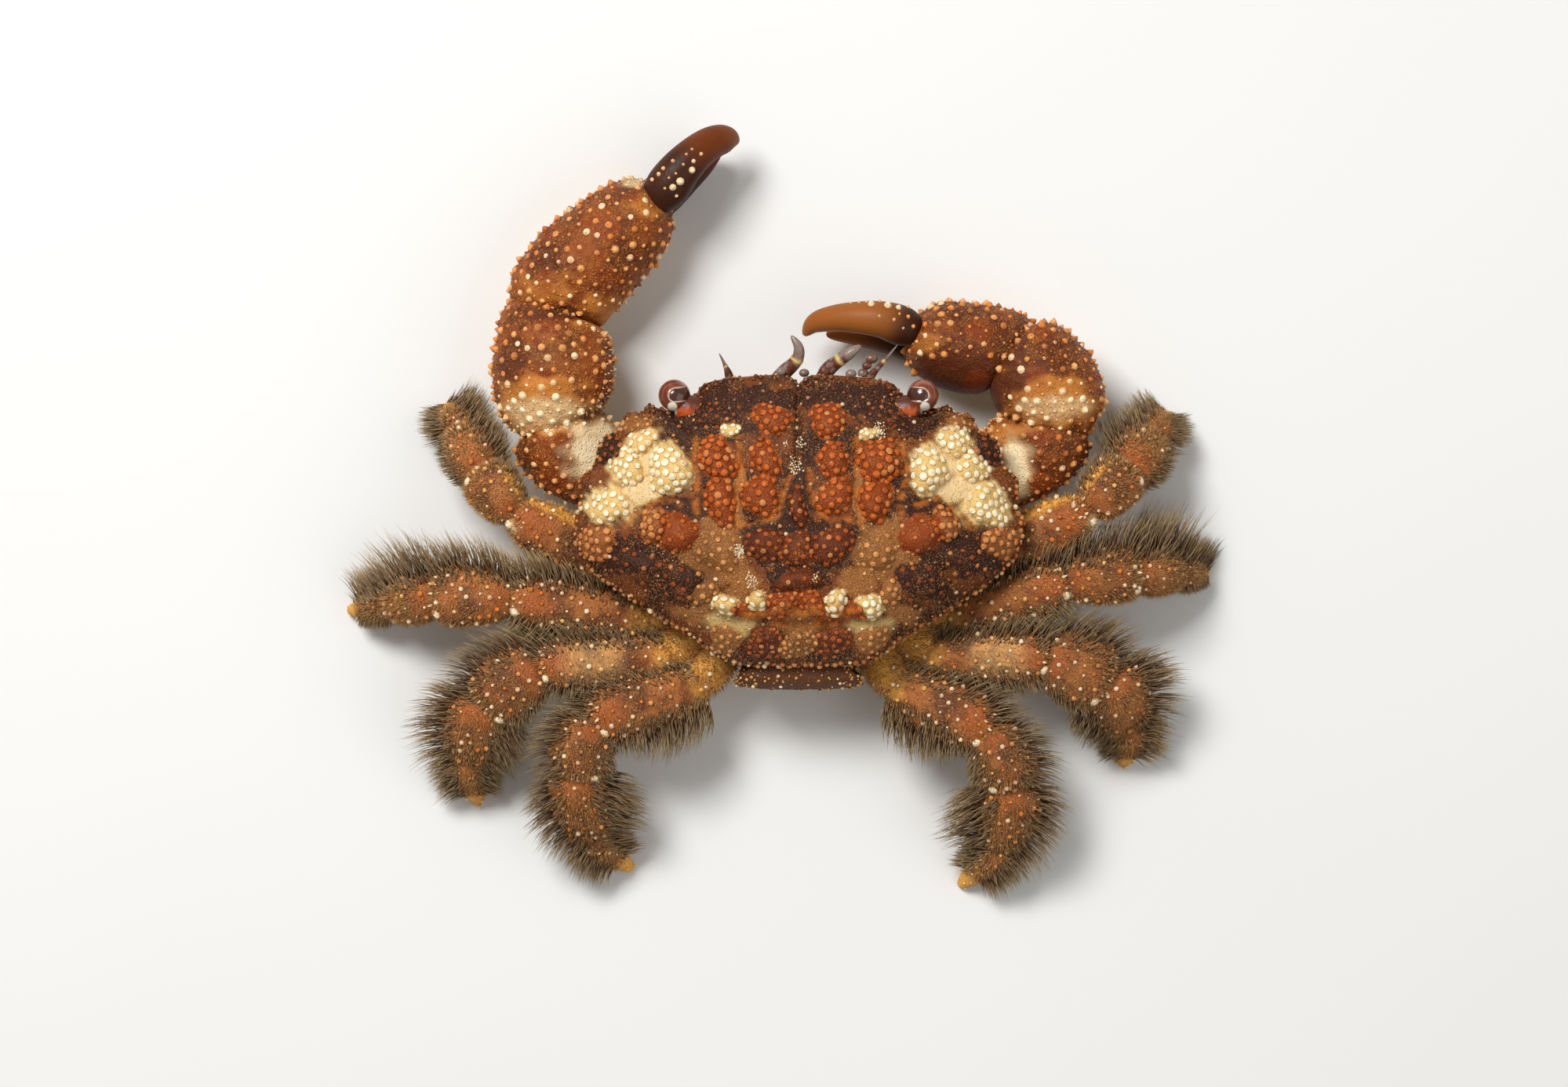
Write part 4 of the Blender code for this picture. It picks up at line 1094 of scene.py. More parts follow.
    groove_depth: float = 0.08
    ledge_drop: float = 0.4
    sulcus_depth: float = 0.16
    tuck: float = 0.2
    front_y: float = -5.5
    socket: Row = (6.55, -6.65, 8.0)
    socket_reach: float = 1.2
    pile: Pile = Pile(bands=2, width=0.012, bend=(0.2, 0.7), lie_strays=0.5, root_strays=0.25)

    def __post_init__(self) -> None:
        """Works out how far the margin lies from the middle in each direction."""
        outline = smooth_steps([(x, y, 0.0) for x, y in self.margin], 500)
        angles = np.arctan2(outline[:, 1], outline[:, 0])
        order = np.argsort(angles)
        self.angles = angles[order]
        self.distances = np.hypot(outline[:, 0], outline[:, 1])[order]

    def reach(self, angle: Array) -> Array:
        """How far the margin lies from the middle in a direction."""
        folded = np.arctan2(np.sin(angle), np.abs(np.cos(angle)))
        return np.interp(folded, self.angles, self.distances)

    def dome(self, share: Array, angle: Array) -> Array:
        """The height of the smooth dome.

        Args:
            share: Shares of the way out to the margin.
            angle: Directions from the middle.

        Returns:
            The height at each of these places.
        """
        front = np.maximum(0, -np.sin(angle))
        rear = np.maximum(0, np.sin(angle))
        rim = self.rim + self.front_rise * front ** 2 - self.rear_fall * rear ** 2
        steepness = 2.0 + 0.5 * ease(np.sin(angle), -0.4, 0.4)
        return rim + (self.top - rim) * np.maximum(0, 1 - share ** steepness) ** 0.58 - self.sink

    def groove_nearness(self, x: Array, y: Array) -> Array:
        """How close places lie to the hairy grooves.

        Args:
            x: How far each place lies to the side.
            y: How far it lies to the rear.

        Returns:
            For each place, 1 in a groove and 0 from its reach on.
        """
        closest = np.full(len(x), np.inf)
        for groove in self.grooves:
            for (x0, y0), (x1, y1) in zip(groove, groove[1:]):
                run_x, run_y = x1 - x0, y1 - y0
                along = ((np.abs(x) - x0) * run_x + (y - y0) * run_y) / (run_x ** 2 + run_y ** 2)
                along = np.clip(along, 0, 1)
                gap = np.hypot(np.abs(x) - x0 - along * run_x, y - y0 - along * run_y)
                closest = np.minimum(closest, gap)
        return np.clip(1 - closest / self.groove_reach, 0, 1)

    def make_sheet(self) -> Workpiece:
        """A square sheet with a skirt that hangs from its edge, one unit lower with each row."""
        bm = bmesh.new()
        bmesh.ops.create_grid(bm, x_segments=self.sheet_columns, y_segments=self.sheet_rows, size=1.0)
        for _ in range(self.skirt_rows):
            rim = [edge for edge in bm.edges if edge.is_boundary]
            for grown in bmesh.ops.extrude_edge_only(bm, edges=rim)["geom"]:
                if isinstance(grown, bmesh.types.BMVert):
                    grown.co.z -= 1
        bmesh.ops.edgeloop_fill(bm, edges=[edge for edge in bm.edges if edge.is_boundary])
        bmesh.ops.recalc_face_normals(bm, faces=bm.faces[:])
        return Workpiece("carapace_shell", bm)

    def colour_grounds(self, chart: Chart) -> Array:
        """Masks for cream, rust and tan between the bosses, a row for each vertex."""
        marks = np.zeros((len(chart.x), 3))
        front = chart.y < 0
        soft = np.where(front, 0.0, 0.25)
        strength = np.where(front, 0.9, 0.8)
        for ovals, column in ((self.tan_grounds, 2), (self.cream_grounds, 0), (self.rust_grounds, 1)):
            for oval in ovals:
                cover = ease(chart.far(oval) + chart.ragged * 0.6, 1.15 + soft, 0.75 - soft) * strength
                marks[:, :2] *= 1 - cover[:, None]
                marks[:, column] = np.maximum(marks[:, column], cover)
        return marks

    def raise_bosses(self, chart: Chart, marks: Array) -> tuple[Array, ...]:
        """Works out what the bosses do to the shell.

        Args:
            chart: Where the vertices lie.
            marks: Their masks of colour before the bosses.

        Returns:
            For each vertex, its masks with the bosses, how much it rises, and the spacing and radius of its
            beads, both 0 off the bosses.
        """
        lift, spacing, size = np.zeros((3, len(marks)))
        for boss in self.bosses:
            far = boss.share(*chart.astray())
            lift = np.maximum(lift, self.boldness * boss.height * np.maximum(0, 1 - far ** 1.3))
            cover = ease(far + chart.ragged, 1.35, 0.85)[:, None]
            marks = marks * (1 - cover) + cover * np.array(boss.kind.value)
            inside = (far < (0.86 if boss.kind is Kind.CREAM else 0.98)) & (spacing == 0)
            spacing[inside] = boss.spacing
            size[inside] = boss.bead
        return marks, lift, spacing, size

    def build(self, palette: Palette) -> None:
        """Builds the shell, its beads and its hair."""
        rng = np.random.default_rng(self.seed)
        shell = self.make_sheet()
        across, along, level = shell.points.T
        u = across * np.sqrt(1 - along ** 2 / 2)
        v = along * np.sqrt(1 - across ** 2 / 2)
        share = np.minimum(np.hypot(u, v), 1)
        angle = np.arctan2(v, u)
        distance = self.reach(angle) * share
        x = distance * np.cos(angle)
        y = distance * np.sin(angle)
        chart = Chart(x, y)
        grounds = self.colour_grounds(chart)
        marks, lift, spacing, size = self.raise_bosses(chart, grounds)
        pale = grounds[:, 0] * (y < 0) * (spacing == 0)
        dusk = np.max([ease(chart.far(oval) + chart.ragged, 1.2, 0.6) for oval in self.dusky], axis=0)
        fade = np.minimum(1, (1 - share) * self.boss_fade)
        groove = self.groove_nearness(*chart.astray(0.6))
        z = self.dome(share, angle) + lift * fade - self.groove_depth * groove * fade
        z -= self.ledge_drop * (ease(y, 4.95, 5.35) * ease(np.abs(x), 4.6, 3.0)) * fade
        z -= self.sulcus_depth * (ease(np.abs(x), 0.38, 0.0) * ease(y, -7.2, -6.4) * ease(y, -2.4, -3.4))
        skirt = level < 0
        below = -level / self.skirt_rows
        rim_z = self.dome(np.ones(len(x)), angle)
        tuck = np.where(skirt, 1 - self.tuck * below ** 1.3, 1.0)
        z = np.where(skirt, rim_z + (self.underside - rim_z) * below ** 0.85, z)
        shell.points = columns(x * tuck, y * tuck, z)
        x, y, _ = shell.points.T
        glow_y, glow_reach, glow_width = self.glow
        glow = ease(np.abs(y + chart.ragged * 0.5 - glow_y), glow_reach, 0.1)
        glow = glow * ease(np.abs(x), glow_width, glow_width - 0.6)
        hollow = np.clip(groove * 1.3, 0, 1) * (1 - marks[:, 0]) * 0.6
        hollow = np.maximum(hollow, glow * ~skirt)
        socket = np.hypot(np.abs(x) - 6.5, y + 6.5)
        open_top = ~skirt & (share < 0.985) & (socket > 0.9)
        ground = Ground(shell.points, shell.normals(), columns((across + 1) / 2, (along + 1) / 2), rng)
        beads = self.make_beads(ground, marks, columns(spacing * open_top, size, pale))
        beads.finish(palette.shell, Slot.SHELL)
        hair = Swarm("carapace_hair")
        chance = (hollow * 0.6 + marks[:, 2] * 0.4 + 0.3) * (1 - marks[:, 0]) * open_top
        chosen = np.flatnonzero(rng.random(len(ground)) < chance * 0.5)
        gold = ease(hollow[chosen], 0.5, 1.0) * 0.6
        hair.grow(self.pile, ground.at(chosen), (0.0, 1.0, 0.0), gold=gold)
        hair.finish(palette.shell_hair, Slot.SHELL)
        self.open_sockets(shell)
        tones = columns(shaded(dusk), pale * 0.32, hollow)
        shell.finish(palette.shell, Slot.SHELL, ["carapace"], marks=marks, tones=tones)

    def open_sockets(self, shell: Workpiece) -> None:
        """Presses a hollow into the margin for each eye."""
        for sign in (1, -1):
            offset = shell.points - np.array(self.socket) * (sign, 1, 1)
            push = np.maximum(0, self.socket_reach - np.linalg.norm(offset, axis=1))
            shell.points += unit(offset) * push[:, None]

    def make_beads(self, ground: Ground, marks: Array, grain: Array) -> Swarm:
        """Covers the bosses with packed beads, and strews finer ones between them.

        Args:
            ground: The shell's vertices.
            marks: Their masks of colour.
            grain: For each vertex, the spacing and radius of its beads, and a mask for smooth cream.

        Returns:
            All the beads.
        """
        rng = ground.rng
        beads = Swarm("carapace_granules")
        large = Template.bead(2)
        small = Template.bead(1)
        spacing, size, pale = grain.T
        across, along, height = ground.points.T
        for distance in sorted(set(spacing[spacing > 0])):
            chosen, places = ground.scatter(spacing == distance, distance * 0.92)
            radius = size[chosen] * rng.uniform(0.86, 1.12, len(places))
            rise = radius * rng.uniform(0.55, 0.8, len(places)) * (1 - 0.25 * marks[chosen, 0])
            beads.stand(large, places, radius, rise, marks[chosen], rng.random(len(places)))
        loose = (spacing == 0) & (height > self.rim + 0.1) & (pale < 0.4)
        chosen, places = ground.scatter(loose, 0.44)
        count = len(places)
        radius = 0.04 + 0.11 * rng.random(count) ** 2
        tint = marks[chosen] + (rng.random((count, 1)) ** 3) * rng.random((count, 3)) * 0.8
        beads.stand(small, places, radius, radius, np.clip(tint, 0, 1), rng.random(count))
        high = self.rim + 0.5 + self.front_rise * (along < self.front_y)
        edge = (height > self.rim - 0.2) & (height < high) & (ground.normals[:, 2] > 0.1)
        _, places = ground.scatter(edge, 0.3)
        count = len(places)
        front = places.points[:, 1] < self.front_y
        radius = rng.uniform(0.1, 0.19, count) * np.where(front, 0.78, 1.0)
        tint = columns(rng.random(count) ** 9, rng.random(count) * 0.5, rng.random(count) * 0.7)
        tint *= np.where(front, 0.45, 1.0)[:, None]
        chance = rng.random(count)
        chance = np.where(front, 0.6 + 0.4 * chance, chance)
        beads.stand(large, places, radius, radius * 1.15, tint, chance)
        for x, y, reach in self.crumbs:
            far = np.hypot((across - x) / reach, (along - y) / (reach * 1.3))
            near = (far + rng.normal(0, 0.2, len(far)) < 0.9) & (height > self.rim)
            _, places = ground.scatter(near, 0.09)
            count = len(places)
            radius = rng.uniform(0.03, 0.075, count)
            rise = radius * rng.uniform(0.8, 2.2, count)
            beads.stand(small, places, radius, rise, (0.85, 0.0, 0.0), rng.random(count) * 0.7)
        return beads


@dataclass
class Body:
    """The underbody with its leg sockets, the pleon folded under it, and the mouth plates."""

    carapace: Carapace
    levels: Rows = (
        (1.9, 0.02), (2.0, 0.30), (2.2, 0.42), (2.8, 0.53), (3.7, 0.61), (4.6, 0.69), (5.3, 0.77),
        (5.6, 0.74), (5.8, 0.02),
    )
    pleon: Rows = (
        (7.30, 6.60, 3.10, 0.30), (8.25, 6.45, 3.30, 0.36), (8.62, 5.50, 3.40, 0.42),
        (8.35, 4.30, 3.30, 0.42), (7.40, 2.90, 2.90, 0.40), (5.90, 1.80, 2.50, 0.38),
        (3.70, 1.28, 2.20, 0.36), (1.60, 1.22, 1.70, 0.34), (0.20, 1.25, 0.90, 0.30),
    )
    pleon_plates: int = 7
    pleon_seed: int = 7
    pleon_beads: int = 420
    mouth_plate: Row = (1.35, -5.45, 3.35)
    mouth_plate_halves: Row = (1.08, 0.42, 1.3)

    def build(self, palette: Palette) -> None:
        """Builds the underbody, pleon and mouth plates."""
        self.build_breastplate(palette)
        self.build_pleon(palette)
        for side, sign in (("left", 1), ("right", -1)):
            self.build_mouth_plate(side, sign, palette)

    def build_breastplate(self, palette: Palette) -> None:
        """The pale plates under the body, grooved between the legs."""
        piece, latitude, angle = globe("breastplate", 64, 160)
        height, share = sample(np.array(self.levels), latitude).T
        mouth = ease(-np.sin(angle), 0.8, 0.97) * ease(height, 2.0, 2.9)
        distance = self.carapace.reach(angle) * share * (1 + 0.22 * mouth)
        groove = np.maximum(0, np.cos(angle * 8)) ** 12 * ease(share, 0.1, 0.4)
        height = height + 0.25 * groove * (latitude < 0.5)
        piece.points = columns(distance * np.cos(angle), distance * np.sin(angle), height)
        piece.finish(palette.underside, Slot.UNDERSIDE, ["underbody"], marks=columns(groove * 0.6, 0, 0))

    def build_pleon(self, palette: Palette) -> None:
        """The tail: plates with a seam between each two, and small beads where it shows behind the shell."""
        rng = np.random.default_rng(self.pleon_seed)
        piece, share, angle = globe("pleon_plates", 112, 72)
        curve = smooth_steps([(0.0, *step) for step in self.pleon], 240)
        heading = unit(np.gradient(curve[:, :3], axis=0))
        outward = np.cross(np.array((1.0, 0, 0)), heading)
        middle_y, middle_z, half_wide, half_deep = sample(curve[:, 1:], share).T
        out_y, out_z = sample(outward[:, 1:], share).T
        seam = np.abs((share * self.pleon_plates) % 1 - 0.5) * 2
        plate = 1 - 0.25 * ease(seam, 0.8, 1.0)
        full = round_ends(share, 14)
        wide = half_wide * full * (0.97 + 0.03 * plate)
        deep = half_deep * full * plate
        spread, depth = (np.sign(turn) * np.abs(turn) ** 0.8 for turn in (np.cos(angle), np.sin(angle)))
        piece.points = columns(
            -spread * wide, middle_y + out_y * depth * deep, middle_z + out_z * depth * deep
        )
        ground = Ground(piece.points, piece.normals(), columns(around(angle), share), rng)
        pale = ease(share, 0.3, 0.5)
        beads = Swarm("pleon_granules")
        count = self.pleon_beads
        _, places = ground.sow((ground.normals[:, 2] > -0.1) & (share < 0.4), count, 0.16)
        radius = 0.045 + 0.08 * rng.random(count) ** 2
        whitish = (rng.random(count) < 0.22) * rng.uniform(0.3, 0.8, count)
        tint = columns(whitish, 0, rng.random(count) * 0.4)
        beads.stand(Template.bead(1), places, radius, radius, tint, rng.random(count))
        beads.finish(palette.leg, Slot.UNDERSIDE)
        tones = columns(shaded(1 - pale), 0, ease(seam, 0.85, 1.0) * pale)
        piece.finish(palette.leg, Slot.UNDERSIDE, ["pleon"], marks=columns(pale * 0.9, 0, 0), tones=tones)

    def build_mouth_plate(self, side: str, sign: int, palette: Palette) -> None:
        """One of the pair of plates that close the mouth.

        Args:
            side: Its side, left or right.
            sign: 1 for left and -1 for right.
            palette: The finishes.
        """
        bm = bmesh.new()
        bmesh.ops.create_cube(bm, size=2)
        bmesh.ops.subdivide_edges(bm, edges=bm.edges[:], cuts=18, use_grid_fill=True)
        piece = Workpiece(f"mouth_plate_{side}_skin", bm)
        x, y, z = (unit(piece.points) * 0.58 + piece.points * 0.48).T
        middle_x, middle_y, middle_z = self.mouth_plate
        half_x, half_y, half_z = self.mouth_plate_halves
        seam = np.exp(-((x * sign - 0.35) / 0.08) ** 2) + np.exp(-((z - 0.55) / 0.07) ** 2)
        piece.points = columns(
            sign * middle_x + x * half_x * (1 - 0.16 * z),
            middle_y + y * half_y * (1 - 0.12 * seam) - z * half_z * 0.85,
            middle_z + z * half_z,
        )
        marks = columns(np.clip(seam, 0, 1) * 0.5, 0, 0)
        piece.finish(palette.underside, Slot.UNDERSIDE, [f"mouth_plate_{side}"], marks=marks)


@dataclass
class Eye:
    """A glassy cornea that wraps round a tongue of its stalk."""

    side: str
    sign: int
    stalk: Rows = (
        (4.6, -5.95, 7.5, 0.55), (5.3, -5.98, 7.8, 0.7), (6.0, -6.02, 7.9, 0.74), (6.6, -6.2, 7.9, 0.56),
    )
    centre: Row = (6.62, -6.72, 8.05)
    radius: float = 0.85

    def build(self, palette: Palette) -> None:
        """Builds the cornea, with the tongue's mask, a white patch and a painted white highlight round the
        tongue, and the stalk.
        """
        bm = bmesh.new()
        bmesh.ops.create_uvsphere(bm, u_segments=96, v_segments=64, radius=self.radius)
        cornea = Workpiece(f"eye_{self.side}_cornea", bm)
        along = -self.sign * cornea.points[:, 0] / self.radius
        aside = cornea.points[:, 1] / self.radius
        tongue = np.hypot(np.maximum(0.08 - along, 0), aside + along * 0.1) - 0.40
        inside = ease(tongue, 0.03, -0.03)
        # Painted highlight: a thin white streak round the tongue's edge.
        painted_highlight_line = ease(np.abs(tongue - 0.04), 0.05, 0.02) * ease(along, 0.9, 0.3)
        patch = ease(np.hypot(along + 0.12, aside - 0.74), 0.34, 0.26)
        rim = ease(np.hypot(along, aside), 0.84, 0.99)
        cornea.points += np.outer(-0.07 * inside, UP)
        cornea.points += np.array(self.centre) * (self.sign, 1, 1)
        # The second mask joins the white patch with the painted highlight at half strength.
        marks = columns(inside, np.clip(painted_highlight_line * 0.5 + patch, 0, 1), rim)
        cornea.finish(palette.cornea, Slot.CORNEA, [f"eye_{self.side}"], marks=marks)
        steps = [(self.sign * x, y, z, radius, radius) for x, y, z, radius in self.stalk]
        stalk, share, _ = tube(f"eyestalk_{self.side}_skin", steps, 40, 40, 5)
        pale = ease(share, 0.86, 0.94) * 0.8
        dark = ease(stalk.normals()[:, 1] + 0.12 * np.sin(share * 40), 0.2, -0.35) * (1 - pale)
        stalk.finish(palette.stalk, Slot.EYESTALK, [f"eyestalk_{self.side}"], marks=columns(pale, dark, 0))


@dataclass
class Feelers:
    """The jointed feelers under the front margin."""

    antennules: dict[str, Rows] = field(default_factory=lambda: {
        "left": ((1.5, -7.2, 6.2, 0.42), (0.75, -8.0, 6.6, 0.42), (0.1, -8.65, 6.95, 0.34),
                 (0.0, -9.3, 7.25, 0.27), (0.4, -9.95, 7.35, 0.13)),
        "right": ((-1.1, -7.2, 6.2, 0.42), (-1.55, -8.1, 6.6, 0.42), (-2.15, -8.6, 6.95, 0.36),
                  (-2.75, -9.0, 7.25, 0.32), (-3.35, -9.4, 7.35, 0.17)),
    })
    antennae: dict[str, Rows] = field(default_factory=lambda: {
        "left": ((3.6, -7.2, 6.5, 0.30), (3.75, -7.9, 6.75, 0.22), (3.95, -8.4, 7.1, 0.10),
                 (4.25, -9.0, 7.5, 0.035)),
        "right": ((-3.6, -7.2, 6.5, 0.30), (-3.95, -7.9, 6.75, 0.22), (-4.6, -8.6, 7.1, 0.10),
                  (-5.3, -9.45, 7.5, 0.035)),
    })
    lobes: tuple[tuple[Row, float, float], ...] = (
        ((0.95, -8.0, 7.0), 0.26, 0.0), ((-2.8, -7.9, 7.05), 0.27, 0.0), ((-0.3, -7.95, 6.9), 0.25, 0.5),
        ((-3.45, -7.95, 6.8), 0.27, 0.9), ((-3.65, -8.35, 6.85), 0.25, 0.9), ((-3.9, -8.72, 6.9), 0.31, 0.8),
    )
    joint: float = 0.6

    def build(self, palette: Palette) -> None:
        """Builds both pairs and the small glassy lobes between them."""
        for kind, pairs in (("antennule", self.antennules), ("antenna", self.antennae)):
            for side, knots in pairs.items():
                steps = [(x, y, z, radius, radius) for x, y, z, radius in knots]
                piece, share, _ = tube(f"{kind}_{side}_skin", steps, 64, 24)
                joint = np.exp(-((share - self.joint) / 0.03) ** 2)
                piece.points += piece.normals() * (joint * 0.03)[:, None]
                marks = columns(np.clip(joint, 0, 1) * 0.9, ease(share, 0.68, 0.75), 0)
                piece.finish(palette.feeler, Slot.FEELER, [f"{kind}_{side}"], marks=marks)
        for number, (middle, radius, warmth) in enumerate(self.lobes):
            bm = bmesh.new()
            bmesh.ops.create_uvsphere(bm, u_segments=36, v_segments=24, radius=radius)
            lobe = Workpiece(f"feeler_lobe_{number}", bm)
            lobe.points = lobe.points * np.array((1.1, 0.9, 0.9)) + np.array(middle)
            pale = np.full(len(lobe.points), 1 - warmth)
            lobe.finish(palette.feeler, Slot.FEELER, marks=columns(0, pale, 0))


@dataclass
class Claw:
    """A claw-bearing leg: upper arm, wrist, hand and fingers, covered in conical tubercles."""

    side: str
    joints: Rows
    merus: Rows
    carpus: Rows
    palm: Rows
    fixed_finger: Rows
    dactyl: Rows
    bare: Rows
    creams: Rows
    tans: Rows
    # Dark patches as x, y, reaches and strength; on the right claw the first one is painted shade on the
    # palm's inner face.
    dark_patches_and_painted_shade: Rows
    studs: Rows
    dark_share: float
    paleness: float
    spiny: tuple[str, float, float]
    inset: float = 0.97
    # How far the fixed finger gets along its colour ramp: it stays darker, painted shade for the finger that
    # lies under the dactyl.
    fixed_finger_shaded_reach: float = 0.6
    swell_reach: float = 0.5
    swell_height: float = 0.09
    joint_softness: float = 0.3
    pile: Pile = Pile(bands=2, width=0.011, bend=(0.2, 0.6), lie_strays=0.4, root_strays=0.3)

    def planes(self) -> Planes:
        """The planes at the elbow and the wrist, halfway between the headings that they join."""
        root, elbow, wrist, knuckle = (np.array((x, y, 0.0)) for x, y in self.joints)
        merus, carpus, palm = unit(np.array((elbow - root, wrist - elbow, knuckle - wrist)))
        return (elbow, unit(merus + carpus)), (wrist, unit(carpus + palm))

    def build(self, palette: Palette) -> None:
        """Builds every segment with its tubercles and its short hair."""
        rng = np.random.default_rng(11 if self.side == "left" else 12)
        (elbow, elbow_way), (wrist, wrist_way) = self.planes()
        self.build_part("merus", self.merus, ((elbow, elbow_way),), 0.60, palette, rng)
        self.build_part("carpus", self.carpus, ((elbow, -elbow_way), (wrist, wrist_way)), 0.63, palette, rng)
        self.build_part("palm", self.palm, ((wrist, -wrist_way),), 0.63, palette, rng)
        self.build_finger("fixed_finger", self.fixed_finger, palette)
        self.build_finger("dactyl", self.dactyl, palette)

    def build_part(
        self,
        part: str,
        steps: Rows,
        planes: Planes,
        spacing: float,
        palette: Palette,
        rng: Chance,
    ) -> None:
        """Builds one rough segment, its tubercles and its hair.

        Args:
            part: The segment's name.
            steps: Its sections.
            planes: The planes that it ends at, each with a point and the way out.
            spacing: The least distance between two tubercles.
            palette: The finishes.
            rng: The source of chance.
        """
        name = f"claw_{self.side}_{part}"
        shrunk = [(x, y, z, wide * self.inset, tall * self.inset) for x, y, z, wide, tall in steps]
        skin, share, angle = tube(f"{name}_skin", shrunk, 96, 124, 8)
        for point, outward in planes:
            skin.press(point + outward * self.joint_softness, outward, self.joint_softness)
        ground = Ground(skin.points, skin.normals(), columns(around(angle), share), rng)
        up = ground.normals[:, 2]
        # The last mask holds the dark patches, and on the right claw painted shade on the palm's inner face;
        # it takes away tan and hollow colour.
        bare, cream, tan, shade = (
            self.cover(skin.points, patches) for patches in (self.bare, self.creams, self.tans, self.dark_patches_and_painted_shade)
        )
        allowed = (up > -0.55) & (share > 0.04) & (share < 0.98) & (bare < 0.5)
        roots, large = ground.scatter(allowed, spacing)
        swell = near_lift(skin.points, large.points, self.swell_reach)
        grains, small = ground.scatter(allowed & (swell < 0.25), 0.5)
        x, y, _ = skin.points.T
        blotch = ease(np.sin(x * 1.9 + 1) + np.sin(y * 2.3), 0.5, 1.6) * 0.7
        marks = columns(
            np.maximum(cream, ease(-up, 0.1, 0.7) * 0.8),
            blotch * (1 - cream),
            np.maximum(tan, ease(-up, -0.1, 0.5) * 0.6) * (1 - shade),
        )
        cones = Swarm(f"{name}_tubercles")
        self.add_tubercles(cones, large, marks[roots], tan[roots])
        width = rng.uniform(0.06, 0.12, len(small))
        hushed = 0.7 + 0.3 * rng.random(len(small))
        cones.stand(Template.bead(1), small, width, width, marks[grains], hushed)
        spiny_part, *spiny_way = self.spiny
        sideways = ground.normals[:, :2] @ np.array(spiny_way)
        edge = (part == spiny_part) & allowed & (sideways > 0.55) & (np.abs(up) < 0.55)
        _, spines = ground.scatter(edge, 0.3)
        width = rng.uniform(0.04, 0.065, len(spines))
        lean = unit(spines.normals + rng.normal(0, 0.25, (len(spines), 3)))
        chance = rng.random(len(spines))
        cones.stand(Template.cone(), spines.leaning(lean), width, width * 3.2, (0.25, 0.0, 0.8), chance)
        cones.finish(palette.claw, Slot.CLAW)
        fuzz = Swarm(f"{name}_hair")
        chosen = np.flatnonzero((rng.random(len(share)) < 0.2 + 0.3 * tan) & allowed & (swell < 0.45))
        fuzz.grow(self.pile, ground.at(chosen), (0.0, -1.0, 0.0), gold=0.35)
        fuzz.finish(palette.shell_hair, Slot.CLAW)
        skin.points += ground.normals * (swell ** 2 * self.swell_height)[:, None]
        # Dark patches and the right claw's painted shade reach the crust through chance, which darkens its
        # ground and pile.
        hushed = (1 - swell) * 0.2 * (1 - shade)
        tones = columns(shaded(shade), swell * 0.2 + cream * bare * 0.4, hushed)
        skin.finish(palette.claw, Slot.CLAW, [name], marks=marks, tones=tones)

    def add_tubercles(self, cones: Swarm, places: Ground, marks: Array, tan: Array) -> None:
        """Stands a cone on each place, some of them paler than their ground.

        Args:
            cones: The swarm that takes them in.
            places: Where they stand.
            marks: The ground's masks of colour there.
            tan: How far each place lies in a tan patch.
        """
        rng = places.rng
        count = len(places)
        whiter = (rng.random(count) < 0.1 + tan) * rng.uniform(0.3, 0.9, count)
        cream, rust, amber = marks.T
        pale = columns(
            np.clip(cream + whiter, 0, 1),
            rust * rng.random(count),
            np.clip(amber + rng.random(count) * 0.5, 0, 1),
        )
        width = rng.uniform(0.14, 0.27, count)
        height = width * 0.7 + rng.uniform(0.02, 0.08, count)
        height = height * (1 + 0.5 * ease(places.normals[:, 2], 0.8, 0.1))
        lean = unit(places.normals + rng.normal(0, 0.06, (count, 3)))
        cones.stand(Template.cone(), places.leaning(lean, 0.04), width, height, pale, rng.random(count))

    def build_finger(self, part: str, steps: Rows, palette: Palette) -> None:
        """Builds one smooth finger, and the pale tubercles on the movable one.

        Args:
            part: The finger's name.
            steps: Its sections.
            palette: The finishes.
        """
        movable = part == "dactyl"
        name = f"claw_{self.side}_{part}"
        piece, share, angle = tube(f"{name}_horn", steps, 84, 48, 5)
        ground = Ground(piece.points, piece.normals(), columns(around(angle), share))
        along = np.interp(share, (0, self.dark_share, 1), (0, 0.5, 1))
        # The fixed finger stops short on the ramp from dark base to pale tip: painted shade under the
        # dactyl.
        along = along * (1.0 if movable else self.fixed_finger_shaded_reach)
        if movable:
            studs = Swarm(f"{name}_tubercles")
            top = np.flatnonzero(ground.normals[:, 2] > 0.25)
            for x, y, width, whiteness in self.studs:
                gaps = np.hypot(ground.points[top, 0] - x, ground.points[top, 1] - y)
                place = ground.at(top[[np.argmin(gaps)]])
                place = place.leaning(place.normals, 0.05)
                studs.stand(Template.cone(), place, width, width * 1.3, (whiteness, 0.0, 0.4), 0.2)
            studs.finish(palette.claw, Slot.CLAW)
        tones = columns(along, self.paleness * ease(along, 0.26, 0.6), 0)
        piece.finish(palette.finger, Slot.FINGER, [name] if movable else [], tones=tones)

    @staticmethod
    def cover(points: Array, patches: Sequence[Sequence[float]]) -> Array:
        """How far points lie inside patches, seen from above.

        Args:
            points: The points.
            patches: Ovals with ragged edges, as x, y, their reaches and strength.

        Returns:
            For each point, the strength of the patch that holds it, or less near a patch's edge.
        """
        x, y, _ = points.T
        ragged = 0.12 * (np.sin(x * 4.1 + y * 1.3) + np.sin(y * 5.3))
        inside = np.zeros(len(points))
        for middle_x, middle_y, reach_x, reach_y, strength in patches:
            far = np.hypot((x - middle_x) / reach_x, (y - middle_y) / reach_y) + ragged
            inside = np.maximum(inside, ease(far, 1.4, 0.5) * strength)
        return inside


@dataclass
class Coat:
    """The hair and the beads of one leg as they gather, with its source of chance and the finishes."""

    hair: Swarm
    beads: Swarm
    rng: Chance
    palette: Palette


